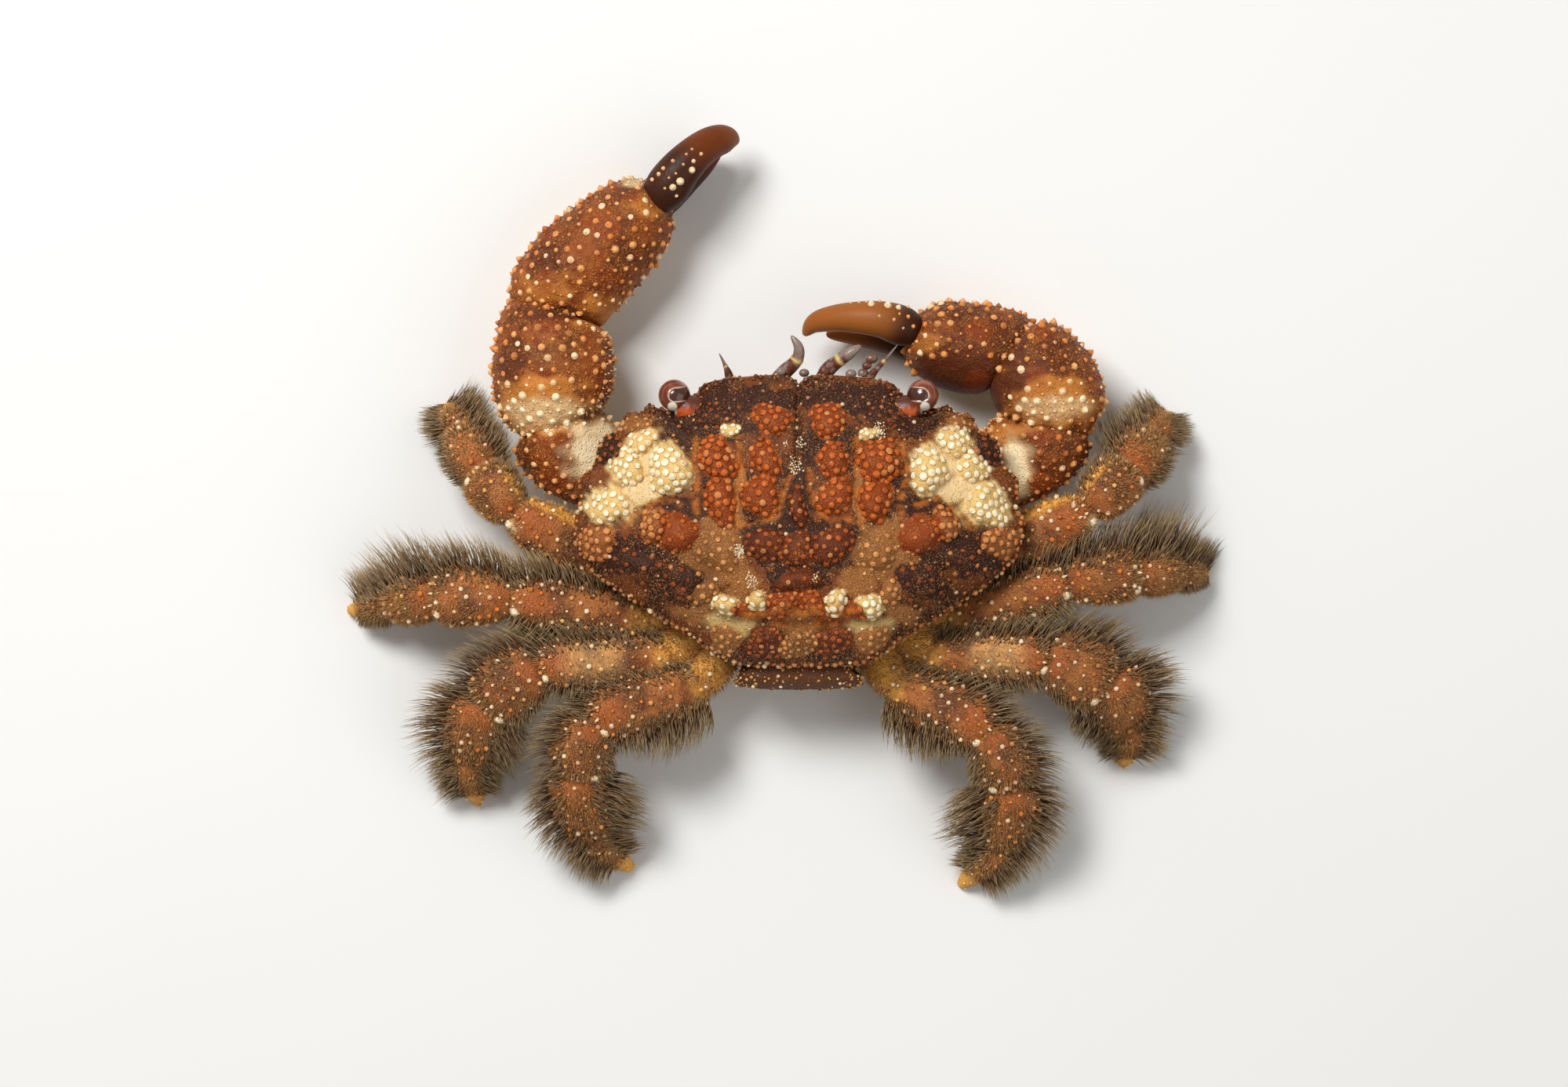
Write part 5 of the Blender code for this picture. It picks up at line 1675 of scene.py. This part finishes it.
@dataclass
class Segment:
    """One segment of a leg while it is dressed: its vertices and what is known about each."""

    index: int
    ground: Ground
    share: Array
    heading: Array
    ahead: Array

    def __post_init__(self) -> None:
        """Works out how far each vertex faces up and to the front."""
        self.up = self.ground.normals[:, 2]
        self.frontness = (self.ground.normals * self.ahead).sum(axis=1)


@dataclass
class Leg:
    """A walking leg of four segments with beads, joint spots, fringes and short hair."""

    name: str
    side: str
    joints: Rows
    half_widths: Row
    front: Row
    rear: Row
    bare: float
    rear_end: float = 1.0
    tuft: float = 0.62
    heights: Row = (4.0, 5.7, 5.1, 2.5, 0.0)
    thickness: float = 1.3
    skin_share: float = 0.96
    overlap: float = 0.22
    profiles: tuple[Rows, ...] = (
        ((0.0, 0.78), (0.2, 0.94), (0.5, 1.04), (0.8, 1.02), (1.0, 0.78)),
        ((0.0, 0.72), (0.3, 0.98), (0.7, 1.1), (1.0, 0.84)),
        ((0.0, 0.86), (0.25, 1.06), (0.6, 1.0), (1.0, 0.6)),
        ((0.0, 1.1), (0.25, 1.05), (0.6, 0.78), (0.85, 0.52), (1.0, 0.3)),
    )
    segments: tuple[str, ...] = ("merus", "carpus", "propodus", "dactyl")
    tip: int = 3
    bristles_per_mm: float = 80
    fuzz_count: int = 2900
    coxa_fuzz_count: int = 1800
    fuzz: Pile = Pile(
        bands=1, width=0.015, bend=(0.35, 0.6), lie_strays=0.14, root_strays=0.07, golden=2.0, lowest=0.05
    )

    def __post_init__(self) -> None:
        """Works out the joints in space, the planes between segments and the other kinds of hair."""
        self.places = [np.array((x, y, z)) for (x, y), z in zip(self.joints, self.heights)]
        headings = unit(np.diff(np.array(self.places), axis=0))
        self.planes = [headings[0], *unit(headings[:-1] + headings[1:]), headings[-1]]
        self.coxa_fuzz = replace(self.fuzz, width=0.016)
        self.bristles = replace(self.fuzz, bands=3, width=0.040, golden=0.2)

    def steps(self, index: int) -> list[Row]:
        """Sections of one segment as x, y, z, half width and half height.

        Args:
            index: The segment's number, from 0 at the body.

        Returns:
            The sections; the last segment's curve down.
        """
        near, far = self.places[index:index + 2]
        run = unit(far - near) * self.overlap
        near = near - run
        far = far if index == self.tip else far + run
        width = self.half_widths[index] * self.skin_share
        tall = min(width, self.thickness)
        flatness = 0.9 if index == self.tip else 0.86
        middle = (near + far) / 2 + UP * 0.55
        rows = []
        for share, breadth in self.profiles[index]:
            if index == self.tip:
                point = near * (1 - share) ** 2 + middle * (2 * share * (1 - share)) + far * share ** 2
            else:
                point = near + (far - near) * share
            rows.append((*point, width * breadth, tall * breadth * flatness))
        return rows

    def build(self, palette: Palette) -> None:
        """Builds the socket and four segments, and one coat and one swarm of beads for the whole leg."""
        rng = np.random.default_rng(int(self.name[-1]) * 10 + (self.side == "left"))
        name = f"{self.name}_{self.side}"
        coat = Coat(Swarm(f"{name}_coat"), Swarm(f"{name}_granules"), rng, palette)
        self.build_coxa(name, coat)
        for index, part in enumerate(self.segments):
            self.build_segment(index, f"{name}_{part}", coat)
        coat.hair.finish(palette.leg_hair, Slot.LEG)
        coat.beads.finish(palette.leg, Slot.LEG)

    def build_coxa(self, name: str, coat: Coat) -> None:
        """Builds the short, ochre socket segment between the body and the leg.

        Args:
            name: The leg's name.
            coat: The leg's hair and beads.
        """
        rng = coat.rng
        root = self.places[0]
        inside = root * 0.6
        inside[2] = root[2] - 0.2
        end = root + self.planes[0] * 0.5
        steps = [(*(inside + (end - inside) * share), 1.12 * wide, 1.05 * wide)
                 for share, wide in ((0.0, 1.0), (0.5, 1.05), (0.8, 1.0), (1.0, 0.85))]
        skin, share, angle = tube(f"{name}_coxa_skin", steps, 40, 40, 7)
        ground = Ground(skin.points, skin.normals(), self.spots(4, share, angle), rng)
        up = ground.normals[:, 2]
        _, places = ground.sow(up > -0.2, self.coxa_fuzz_count, 0.07)
        lengths = rng.uniform(0.25, 0.5, len(places))
        coat.hair.grow(self.coxa_fuzz, places, self.planes[0], lengths)
        _, places = ground.scatter((up > 0.2) & (share > 0.7), 0.75)
        size = rng.uniform(0.08, 0.17, len(places))
        coat.beads.stand(Template.bead(1), places, size, size, (0.9, 0.0, 0.3), rng.random(len(places)))
        marks = columns(ease(-up, 0.0, 0.6) * 0.7, 0, 1)
        tones = columns(shaded(0 * share), 0, 0.2)
        skin.finish(coat.palette.leg, Slot.UNDERSIDE, marks=marks, tones=tones)

    @staticmethod
    def spots(index: int, share: Array, angle: Array) -> Array:
        """Places on the map, where each segment has a strip of its own and the coxa the last."""
        return columns((index + share) / 5, around(angle))

    def build_segment(self, index: int, name: str, coat: Coat) -> None:
        """Builds one segment and adds its beads and hairs.

        Args:
            index: Its number, from 0 at the body.
            name: Its name.
            coat: The leg's hair and beads.
        """
        skin, share, angle = tube(f"{name}_skin", self.steps(index), 64, 48, 14 if index == self.tip else 7)
        skin.points[:, 2] = np.maximum(skin.points[:, 2], 0.0)
        near, far = self.planes[index:index + 2]
        heading = unit(near + (far - near) * share[:, None])
        ahead = unit(columns(-heading[:, 1], heading[:, 0], 0)) * (-1 if self.side == "left" else 1)
        ground = Ground(skin.points, skin.normals(), self.spots(index, share, angle), coat.rng)
        segment = Segment(index, ground, share, heading, ahead)
        marks = self.colour(segment)
        self.add_beads(segment, marks, coat)
        self.add_fuzz(segment, coat)
        self.add_fringes(segment, coat)
        dusk = ease(share, 0.5, 0.85) * ease(segment.frontness, -0.3, 0.4) * (0.0, 0.5, 0.9, 0.0)[index]
        tones = columns(shaded(dusk), 0, ease(segment.up, 0.6, 0.1) * 0.3)
        skin.finish(coat.palette.leg, Slot.LEG, [name], marks=marks, tones=tones)

    def colour(self, segment: Segment) -> Array:
        """Masks for cream, rust and tan at each vertex of a segment.

        Args:
            segment: The segment.

        Returns:
            One row for each vertex.
        """
        index, share, up, frontness = segment.index, segment.share, segment.up, segment.frontness
        stripe = ease(up, 0.75, 1.0) * (0.5 + 0.5 * np.sin(share * 9 + index))
        edge = ease(frontness, 0.45, 0.9) * (0.8 if self.name == "leg1" else 0.2)
        amber = (ease(share, 0.55, 0.9), ease(share, 0.65, 0.1), ease(share, 0.65, 0.2), 0 * share)[index]
        rust = np.clip(np.clip(edge + stripe * 0.45, 0, 1) + amber * 0.3, 0, 1)
        tan = ease(share, 0.35, 0.0) * 0.7 if index == 0 else ease(share, 0.9, 1.0) * 0.5
        if self.name == "leg1" and index < 2:
            tan = np.maximum(tan, ease(frontness, 0.4, 0.8) * 0.7)
        if index == self.tip:
            tan = ease(share, 0.45, 0.7)
            rust = np.maximum(rust * (1 - tan), ease(share, 0.75, 0.95) * 0.4)
        condyle = ease(share, 0.88, 0.97) * ease(-frontness, 0.2, 0.7) * (index < self.tip)
        saddle = ease(np.abs(share - 0.62), 0.3, 0.12) * ease(up, 0.3, 0.9)
        saddle = saddle * (index == 0 and self.name == "leg3")
        cream = np.clip(condyle + saddle * 0.15 + ease(-up, 0.0, 0.6) * 0.5, 0, 1)
        return columns(cream, rust, np.maximum(tan, saddle * 0.3))

    def add_beads(self, segment: Segment, marks: Array, coat: Coat) -> None:
        """Strews beads over the upper side, and adds a crest of cones and a white spot at a joint.

        Args:
            segment: The segment.
            marks: Its masks of colour.
            coat: The leg's hair and beads.
        """
        rng, ground, share, up = coat.rng, segment.ground, segment.share, segment.up
        bead = Template.bead(1)
        chosen, places = ground.scatter((up > 0.1) & (share > 0.05) & (share < 0.96), 0.5)
        count = len(places)
        size = rng.uniform(0.06, 0.175, count) * (0.7 if segment.index == self.tip else 1)
        cream, rust, tan = marks[chosen].T
        cream = np.clip(cream + (rng.random(count) < 0.4) * rng.uniform(0.3, 0.75, count), 0, 1)
        rust = np.clip(rust + (rng.random(count) < 0.3) * 0.8, 0, 1)
        coat.beads.stand(bead, places, size, size * 1.4, columns(cream, rust, tan), rng.random(count))
        if segment.index > 1:
            return
        joint = (share > 0.88) & (share < 0.96) & (up > 0.15) & (segment.frontness > -0.2)
        chosen, places = ground.scatter(joint, 0.42)
        count = len(places)
        width = rng.uniform(0.06, 0.1, count)
        lean = unit(places.normals * 0.8 + segment.heading[chosen] * 0.7)
        height = width * rng.uniform(1.6, 3.2, count)
        tint = columns(rng.uniform(0.1, 0.8, count), 0, 0.5)
        coat.beads.stand(Template.cone(), places.leaning(lean), width, height, tint, rng.random(count) * 0.6)
        behind = -segment.ahead[share > 0.97].mean(axis=0) * self.half_widths[segment.index] * 0.7
        spot = self.places[segment.index + 1] + behind + UP * 0.6
        nearest = np.argmin(np.linalg.norm(ground.points - spot, axis=1, keepdims=True), axis=0)
        coat.beads.stand(bead, ground.at(nearest), 0.32, 0.32 * 0.6, (0.85, 0.0, 0.5), 0.2)

    def add_fuzz(self, segment: Segment, coat: Coat) -> None:
        """Grows short hair over a segment.

        Args:
            segment: The segment.
            coat: The leg's hair and beads.
        """
        at_tip = segment.index == self.tip
        hairy = (segment.share > 0.03) & (segment.share < (0.6 if at_tip else 0.985)) & (segment.up > -0.5)
        count = self.fuzz_count // 2 if at_tip else self.fuzz_count
        chosen, places = segment.ground.sow(hairy, count, 0.07)
        lengths = coat.rng.uniform(0.14, 0.32, count)
        coat.hair.grow(self.fuzz, places, segment.heading[chosen], lengths)

    def add_fringes(self, segment: Segment, coat: Coat) -> None:
        """Grows the long bristles along a segment's front and rear edges.

        Args:
            segment: The segment.
            coat: The leg's hair and beads.
        """
        rng, index, share, up = coat.rng, segment.index, segment.share, segment.up
        length_mm = np.linalg.norm(self.places[index + 1] - self.places[index])
        wanted = int(length_mm * self.bristles_per_mm)
        for reach, sign in ((self.front[index], 1), (self.rear[index], -1)):
            if reach <= 0:
                continue
            facing = segment.frontness * sign
            start = self.bare if index == 0 else 0.0
            end = self.rear_end if index == 0 and sign < 0 else 1.0
            high = self.tuft if index == self.tip else min(end + 0.35, 1.0)
            edge_on = (facing > 0.32) | ((facing > 0.15) & (up < 0.1))
            eligible = edge_on & (up > (-0.75 if sign > 0 else -0.3)) & (share >= start) & (share <= high)
            chosen, places = segment.ground.sow(eligible, wanted, 0.05)
            along = share[chosen]
            lengths = (reach + 0.25) * (0.25 + 0.75 * ease(facing[chosen] - up[chosen] * 0.3, 0.2, 0.75))
            lengths = lengths * rng.uniform(0.7, 1.08, wanted)
            lengths *= 1 - 0.12 * np.sin(along * 31 + rng.uniform(0, 6)) ** 2
            if index == 0 and sign > 0:
                lengths *= 0.55 + 0.45 * along
            if end < 1:
                lengths *= 0.25 + 0.75 * ease(along, end + 0.35, end - 0.2)
            tilt = rng.uniform(-0.25, 0.45, wanted)[:, None]
            aim = unit(segment.ahead[chosen] * sign * 1.1 + places.normals * 0.45 + UP * tilt)
            coat.hair.grow(self.bristles, places.leaning(aim), segment.heading[chosen], lengths)


@dataclass
class Studio:
    """Floor, camera and soft lights, with sizes in metres."""

    distance: float = 0.30
    subject: float = 0.006
    sensor: float = 36
    near: float = 0.01
    floor: float = 1.5
    glow: float = 0.30
    lamps: tuple[tuple[str, Row, float, float], ...] = (
        ("key", (0.10, -0.13, 0.25), 0.11, 0.86),
        ("fill", (-0.17, 0.06, 0.20), 0.22, 0.16),
    )

    def build(self) -> None:
        """Builds all three, and the pale surroundings."""
        self.build_floor()
        self.build_camera()
        for name, place, size, power in self.lamps:
            self.build_light(name, place, size, power)
        bpy.context.scene.view_settings.view_transform = "Standard"
        world = bpy.data.worlds.new("studio")
        world.use_nodes = True
        background = world.node_tree.nodes["Background"]
        background.inputs["Color"].default_value = (1, 1, 1, 1)
        background.inputs["Strength"].default_value = self.glow
        bpy.context.scene.world = world

    def build_floor(self) -> None:
        """Builds a plain pale floor."""
        bm = bmesh.new()
        bmesh.ops.create_grid(bm, x_segments=2, y_segments=2, size=self.floor)
        mesh = bpy.data.meshes.new("floor")
        bm.to_mesh(mesh)
        bm.free()
        recipe = Recipe("floor_paint")
        colour = recipe.mix((232, 231, 228), (226, 225, 222), recipe.noise(60, 2))
        mesh.materials.append(recipe.done(colour, 0.8))
        floor = new_object("floor", mesh)

    def build_camera(self) -> None:
        """Builds a camera that looks straight down, with the crab's front at the top of the picture."""
        camera = new_object("camera", bpy.data.cameras.new("camera"))
        middle_x = (PHOTO_ORIGIN[0] - PHOTO_WIDTH / 2) / PIXELS_PER_MM
        middle_y = (PHOTO_HEIGHT / 2 - PHOTO_ORIGIN[1]) / PIXELS_PER_MM
        centre = metres(np.array((middle_x, middle_y, 0)))
        camera.location = (centre[0], centre[1], self.distance + self.subject)
        camera.rotation_euler = (0, 0, math.pi)
        camera.data.sensor_width = self.sensor
        camera.data.lens = self.sensor * self.distance / (PHOTO_WIDTH / PIXELS_PER_MM * MM)
        camera.data.clip_start = self.near
        bpy.context.scene.camera = camera

    def build_light(self, name: str, place: Row, size: float, power: float) -> None:
        """Builds a soft square light that looks at the crab.

        Args:
            name: Its name.
            place: Where it hangs.
            size: The length of its side.
            power: Its power in watts.
        """
        lamp = bpy.data.lights.new(name, "AREA")
        lamp.size = size
        lamp.energy = power
        light = new_object(name, lamp)
        light.location = place
        light.rotation_euler = (-Vector(place)).to_track_quat("-Z", "Y").to_euler()


CLAWS = (
    Claw(
        side="left", joints=((7.9, -1.0), (13.25, -5.05), (13.2, -11.25), (7.25, -17.65)),
        merus=(
            (8.7, -1.6, 3.3, 1.1, 1.1), (10.1, -2.4, 3.5, 1.95, 1.5), (11.6, -3.4, 3.8, 2.6, 1.85),
            (13.0, -4.6, 4.0, 2.65, 2.1), (14.3, -5.8, 4.1, 2.3, 1.9),
        ),
        carpus=(
            (13.25, -3.9, 4.2, 1.3, 1.3), (13.28, -5.4, 4.2, 2.6, 2.3), (13.3, -6.9, 4.2, 3.2, 2.8),
            (13.25, -8.4, 4.2, 3.35, 2.9), (13.3, -9.8, 4.1, 3.1, 2.7), (13.4, -11.2, 3.9, 2.75, 2.2),
            (13.2, -12.4, 3.8, 1.6, 1.4),
        ),
        palm=(
            (13.5, -10.4, 3.7, 2.1, 1.5), (13.2, -11.6, 3.5, 2.85, 2.3), (12.45, -12.85, 3.3, 2.95, 2.9),
            (11.6, -13.85, 3.2, 2.95, 3.15), (10.65, -14.75, 3.15, 2.8, 3.22),
            (9.7, -15.65, 3.15, 2.65, 3.2), (8.85, -16.5, 3.2, 2.4, 3.0), (8.05, -17.35, 3.25, 2.0, 2.6),
            (7.5, -17.9, 3.25, 1.6, 2.2),
        ),
        fixed_finger=(
            (8.8, -16.7, 2.1, 1.2, 1.3), (7.3, -17.75, 1.75, 1.05, 1.1), (6.1, -18.85, 1.5, 0.9, 0.9),
            (5.0, -19.75, 1.55, 0.7, 0.68), (4.15, -20.25, 1.75, 0.42, 0.42),
        ),
        dactyl=(
            (7.9, -16.9, 4.2, 1.2, 1.2), (7.1, -18.0, 4.7, 1.25, 1.15), (6.3, -19.05, 4.9, 1.12, 1.02),
            (5.4, -19.95, 4.7, 0.98, 0.9), (4.6, -20.5, 4.2, 0.9, 0.8), (3.85, -20.72, 3.6, 0.82, 0.7),
            (3.25, -20.65, 3.0, 0.55, 0.5),
        ),
        bare=((10.9, -3.6, 1.6, 1.9, 1.0), (10.4, -11.0, 1.5, 0.8, 1.0)),
        creams=((10.9, -3.6, 1.5, 1.8, 1.0), (9.0, -18.3, 0.55, 0.3, 0.7), (13.6, -5.8, 2.3, 0.9, 0.55)),
        tans=(
            (13.8, -6.2, 2.6, 1.7, 0.9), (12.8, -8.8, 2.0, 1.6, 0.25), (13.6, -12.7, 1.9, 1.1, 0.4),
            (10.7, -11.1, 1.7, 1.1, 0.6), (8.2, -16.9, 1.4, 0.9, 0.4),
        ),
        dark_patches_and_painted_shade=((13.6, -14.2, 1.0, 1.7, 0.5), (12.9, -11.2, 1.7, 0.4, 0.8), (15.4, -8.6, 0.7, 1.3, 0.6)),
        studs=(
            (6.82, -17.98, 0.21, 0.8), (6.27, -18.27, 0.24, 0.85), (5.73, -18.9, 0.21, 0.8),
            (5.64, -19.37, 0.14, 0.7), (5.26, -19.79, 0.13, 0.3), (7.92, -18.4, 0.14, 0.3),
            (7.54, -18.65, 0.15, 0.4), (7.28, -19.03, 0.14, 0.3), (6.82, -19.4, 0.13, 0.3),
            (6.5, -17.5, 0.12, 0.3), (7.2, -17.9, 0.1, 0.3), (6.6, -18.7, 0.09, 0.3),
            (6.2, -19.2, 0.1, 0.3), (6.0, -19.7, 0.1, 0.1), (5.7, -20.0, 0.1, 0.1),
            (7.0, -18.5, 0.09, 0.2),
        ),
        dark_share=0.52, paleness=0.0, spiny=("carpus", -1.0, 0.0),
    ),
    Claw(
        side="right", joints=((-7.9, -1.0), (-13.8, -5.05), (-11.75, -9.45), (-5.65, -10.6)),
        merus=(
            (-8.7, -1.6, 3.3, 1.1, 1.1), (-10.2, -2.4, 3.5, 1.95, 1.5), (-11.9, -3.4, 3.8, 2.55, 1.85),
            (-13.4, -4.55, 4.0, 2.55, 2.1), (-15.0, -5.75, 4.1, 2.2, 1.9),
        ),
        carpus=(
            (-14.4, -4.0, 4.2, 1.3, 1.3), (-14.0, -5.3, 4.2, 2.5, 2.3), (-13.65, -6.6, 4.2, 3.0, 2.8),
            (-13.0, -7.85, 4.2, 2.95, 2.9), (-12.3, -9.1, 4.1, 2.5, 2.6), (-11.6, -10.2, 3.9, 1.7, 2.0),
        ),
        palm=(
            (-13.2, -9.2, 3.7, 1.3, 1.5), (-12.0, -9.25, 3.5, 2.1, 2.3), (-10.9, -9.25, 3.3, 2.4, 2.9),
            (-9.8, -9.3, 3.2, 2.5, 3.15), (-8.7, -9.45, 3.15, 2.5, 3.22), (-7.7, -9.75, 3.2, 2.35, 3.1),
            (-6.8, -10.1, 3.2, 2.05, 2.8), (-6.05, -10.45, 3.25, 1.6, 2.3),
        ),
        fixed_finger=(
            (-7.2, -9.4, 2.1, 1.3, 1.3), (-5.6, -9.9, 1.75, 1.0, 1.1), (-4.0, -10.2, 1.5, 0.8, 0.9),
            (-2.6, -10.3, 1.55, 0.6, 0.68), (-1.5, -10.2, 1.75, 0.42, 0.42),
        ),
        dactyl=(
            (-6.6, -10.2, 4.2, 1.2, 1.15), (-5.6, -10.55, 4.7, 1.16, 1.05),
            (-4.5, -10.88, 4.95, 1.0, 0.97), (-3.3, -11.0, 4.8, 0.88, 0.88),
            (-1.95, -10.98, 4.35, 0.72, 0.74), (-0.9, -10.74, 3.7, 0.6, 0.62),
            (-0.28, -10.1, 3.15, 0.42, 0.44),
        ),
        bare=((-11.75, -3.2, 0.95, 2.0, 1.0), (-8.6, -7.4, 3.6, 1.75, 1.0)),
        creams=((-11.75, -2.9, 0.8, 1.6, 1.0), (-13.8, -6.1, 1.9, 0.7, 0.5)),
        tans=(
            (-13.4, -6.5, 2.8, 1.4, 0.8), (-11.2, -4.7, 1.3, 0.6, 0.5), (-6.9, -9.6, 1.0, 0.8, 0.5),
            (-11.4, -7.6, 0.8, 1.3, 0.5),
        ),
        # The first dark patch is painted shade on the palm's inner, rear-facing face; the others darken the
        # claw's colour.
        dark_patches_and_painted_shade=((-8.8, -7.5, 3.6, 1.9, 0.9), (-11.9, -9.6, 0.4, 1.6, 0.6), (-9.2, -10.5, 2.8, 1.5, 0.35)),
        studs=(
            (-3.9, -11.75, 0.21, 0.8), (-4.85, -11.65, 0.23, 0.8), (-5.4, -11.5, 0.18, 0.7),
            (-3.3, -11.9, 0.11, 0.2), (-4.4, -11.95, 0.13, 0.2), (-5.9, -11.7, 0.13, 0.2),
            (-4.3, -11.1, 0.1, 0.1), (-5.1, -10.9, 0.12, 0.1), (-2.8, -11.85, 0.1, 0.1),
            (-3.6, -12.0, 0.1, 0.2), (-5.9, -11.0, 0.14, 0.0), (-6.2, -10.5, 0.14, 0.0),
            (-5.6, -10.4, 0.1, 0.0), (-5.5, -11.2, 0.1, 0.1),
        ),
        dark_share=0.3, paleness=0.45, spiny=("merus", 0.5, -0.85),
    ),
)

LEGS = (
    Leg(
        name="leg1", side="left",
        joints=((8.3, 2.95), (15.4, -0.4), (17.1, -2.65), (18.45, -4.95), (19.2, -6.35)),
        half_widths=(1.4, 1.3, 1.3, 0.9), front=(0.0, 0.3, 1.1, 1.5), rear=(0.0, 0.0, 0.4, 1.1), bare=0.5,
        tuft=1.0,
    ),
    Leg(
        name="leg2", side="left", joints=((8.0, 5.4), (15.5, 4.1), (19.6, 4.0), (22.2, 4.55), (24.6, 4.85)),
        half_widths=(1.4, 1.5, 1.25, 0.8), front=(1.9, 2.0, 2.5, 1.7), rear=(0.8, 0.0, 0.0, 0.3), bare=0.05,
    ),
    Leg(
        name="leg3", side="left",
        joints=((6.8, 7.35), (14.0, 7.75), (16.95, 9.75), (18.0, 12.9), (17.5, 15.4)),
        half_widths=(1.4, 1.75, 1.75, 0.95), front=(1.7, 1.8, 2.0, 1.3), rear=(0.6, 0.4, 1.4, 0.9),
        bare=0.05,
    ),
    Leg(
        name="leg4", side="left",
        joints=((5.05, 8.85), (11.2, 10.75), (12.0, 13.6), (11.3, 17.1), (9.1, 19.0)),
        half_widths=(1.55, 1.5, 1.6, 0.88), front=(1.4, 1.6, 1.6, 1.2), rear=(1.7, 0.4, 2.0, 1.0),
        bare=0.05, rear_end=0.6,
    ),
    Leg(
        name="leg1", side="right",
        joints=((-8.3, 2.95), (-15.75, -0.7), (-17.75, -2.8), (-19.3, -4.6), (-20.0, -5.9)),
        half_widths=(1.4, 1.35, 1.45, 1.0), front=(0.0, 0.5, 1.4, 1.3), rear=(0.0, 0.0, 0.5, 1.0), bare=0.5,
        tuft=1.0,
    ),
    Leg(
        name="leg2", side="right",
        joints=((-8.0, 5.3), (-14.5, 3.2), (-18.25, 2.75), (-20.7, 2.75), (-22.3, 2.85)),
        half_widths=(1.4, 1.4, 1.2, 0.8), front=(1.8, 1.9, 2.8, 1.6), rear=(0.8, 0.0, 0.0, 0.3), bare=0.05,
        tuft=1.0,
    ),
    Leg(
        name="leg3", side="right",
        joints=((-6.8, 7.3), (-13.5, 7.3), (-16.6, 8.5), (-17.95, 11.0), (-17.8, 13.3)),
        half_widths=(1.4, 1.85, 1.9, 0.95), front=(1.7, 1.8, 2.0, 1.5), rear=(0.6, 0.4, 1.1, 0.8),
        bare=0.05,
    ),
    Leg(
        name="leg4", side="right",
        joints=((-5.05, 8.9), (-10.4, 11.2), (-11.5, 14.2), (-11.1, 17.6), (-8.85, 19.95)),
        half_widths=(1.6, 1.5, 1.6, 0.9), front=(1.6, 1.6, 1.8, 1.2), rear=(1.6, 0.5, 2.2, 0.9), bare=0.05,
        rear_end=0.6,
    ),
)


def main() -> None:
    """Builds the crab and its studio."""
    logging.basicConfig(level=logging.INFO, format="%(name)s: %(message)s")
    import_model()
    palette = Palette()
    carapace = Carapace()
    carapace.build(palette)
    Body(carapace).build(palette)
    for side, sign in (("left", 1), ("right", -1)):
        Eye(side, sign).build(palette)
    Feelers().build(palette)
    for claw in CLAWS:
        claw.build(palette)
    for leg in LEGS:
        leg.build(palette)
    Studio().build()


if __name__ == "__main__":
    main()
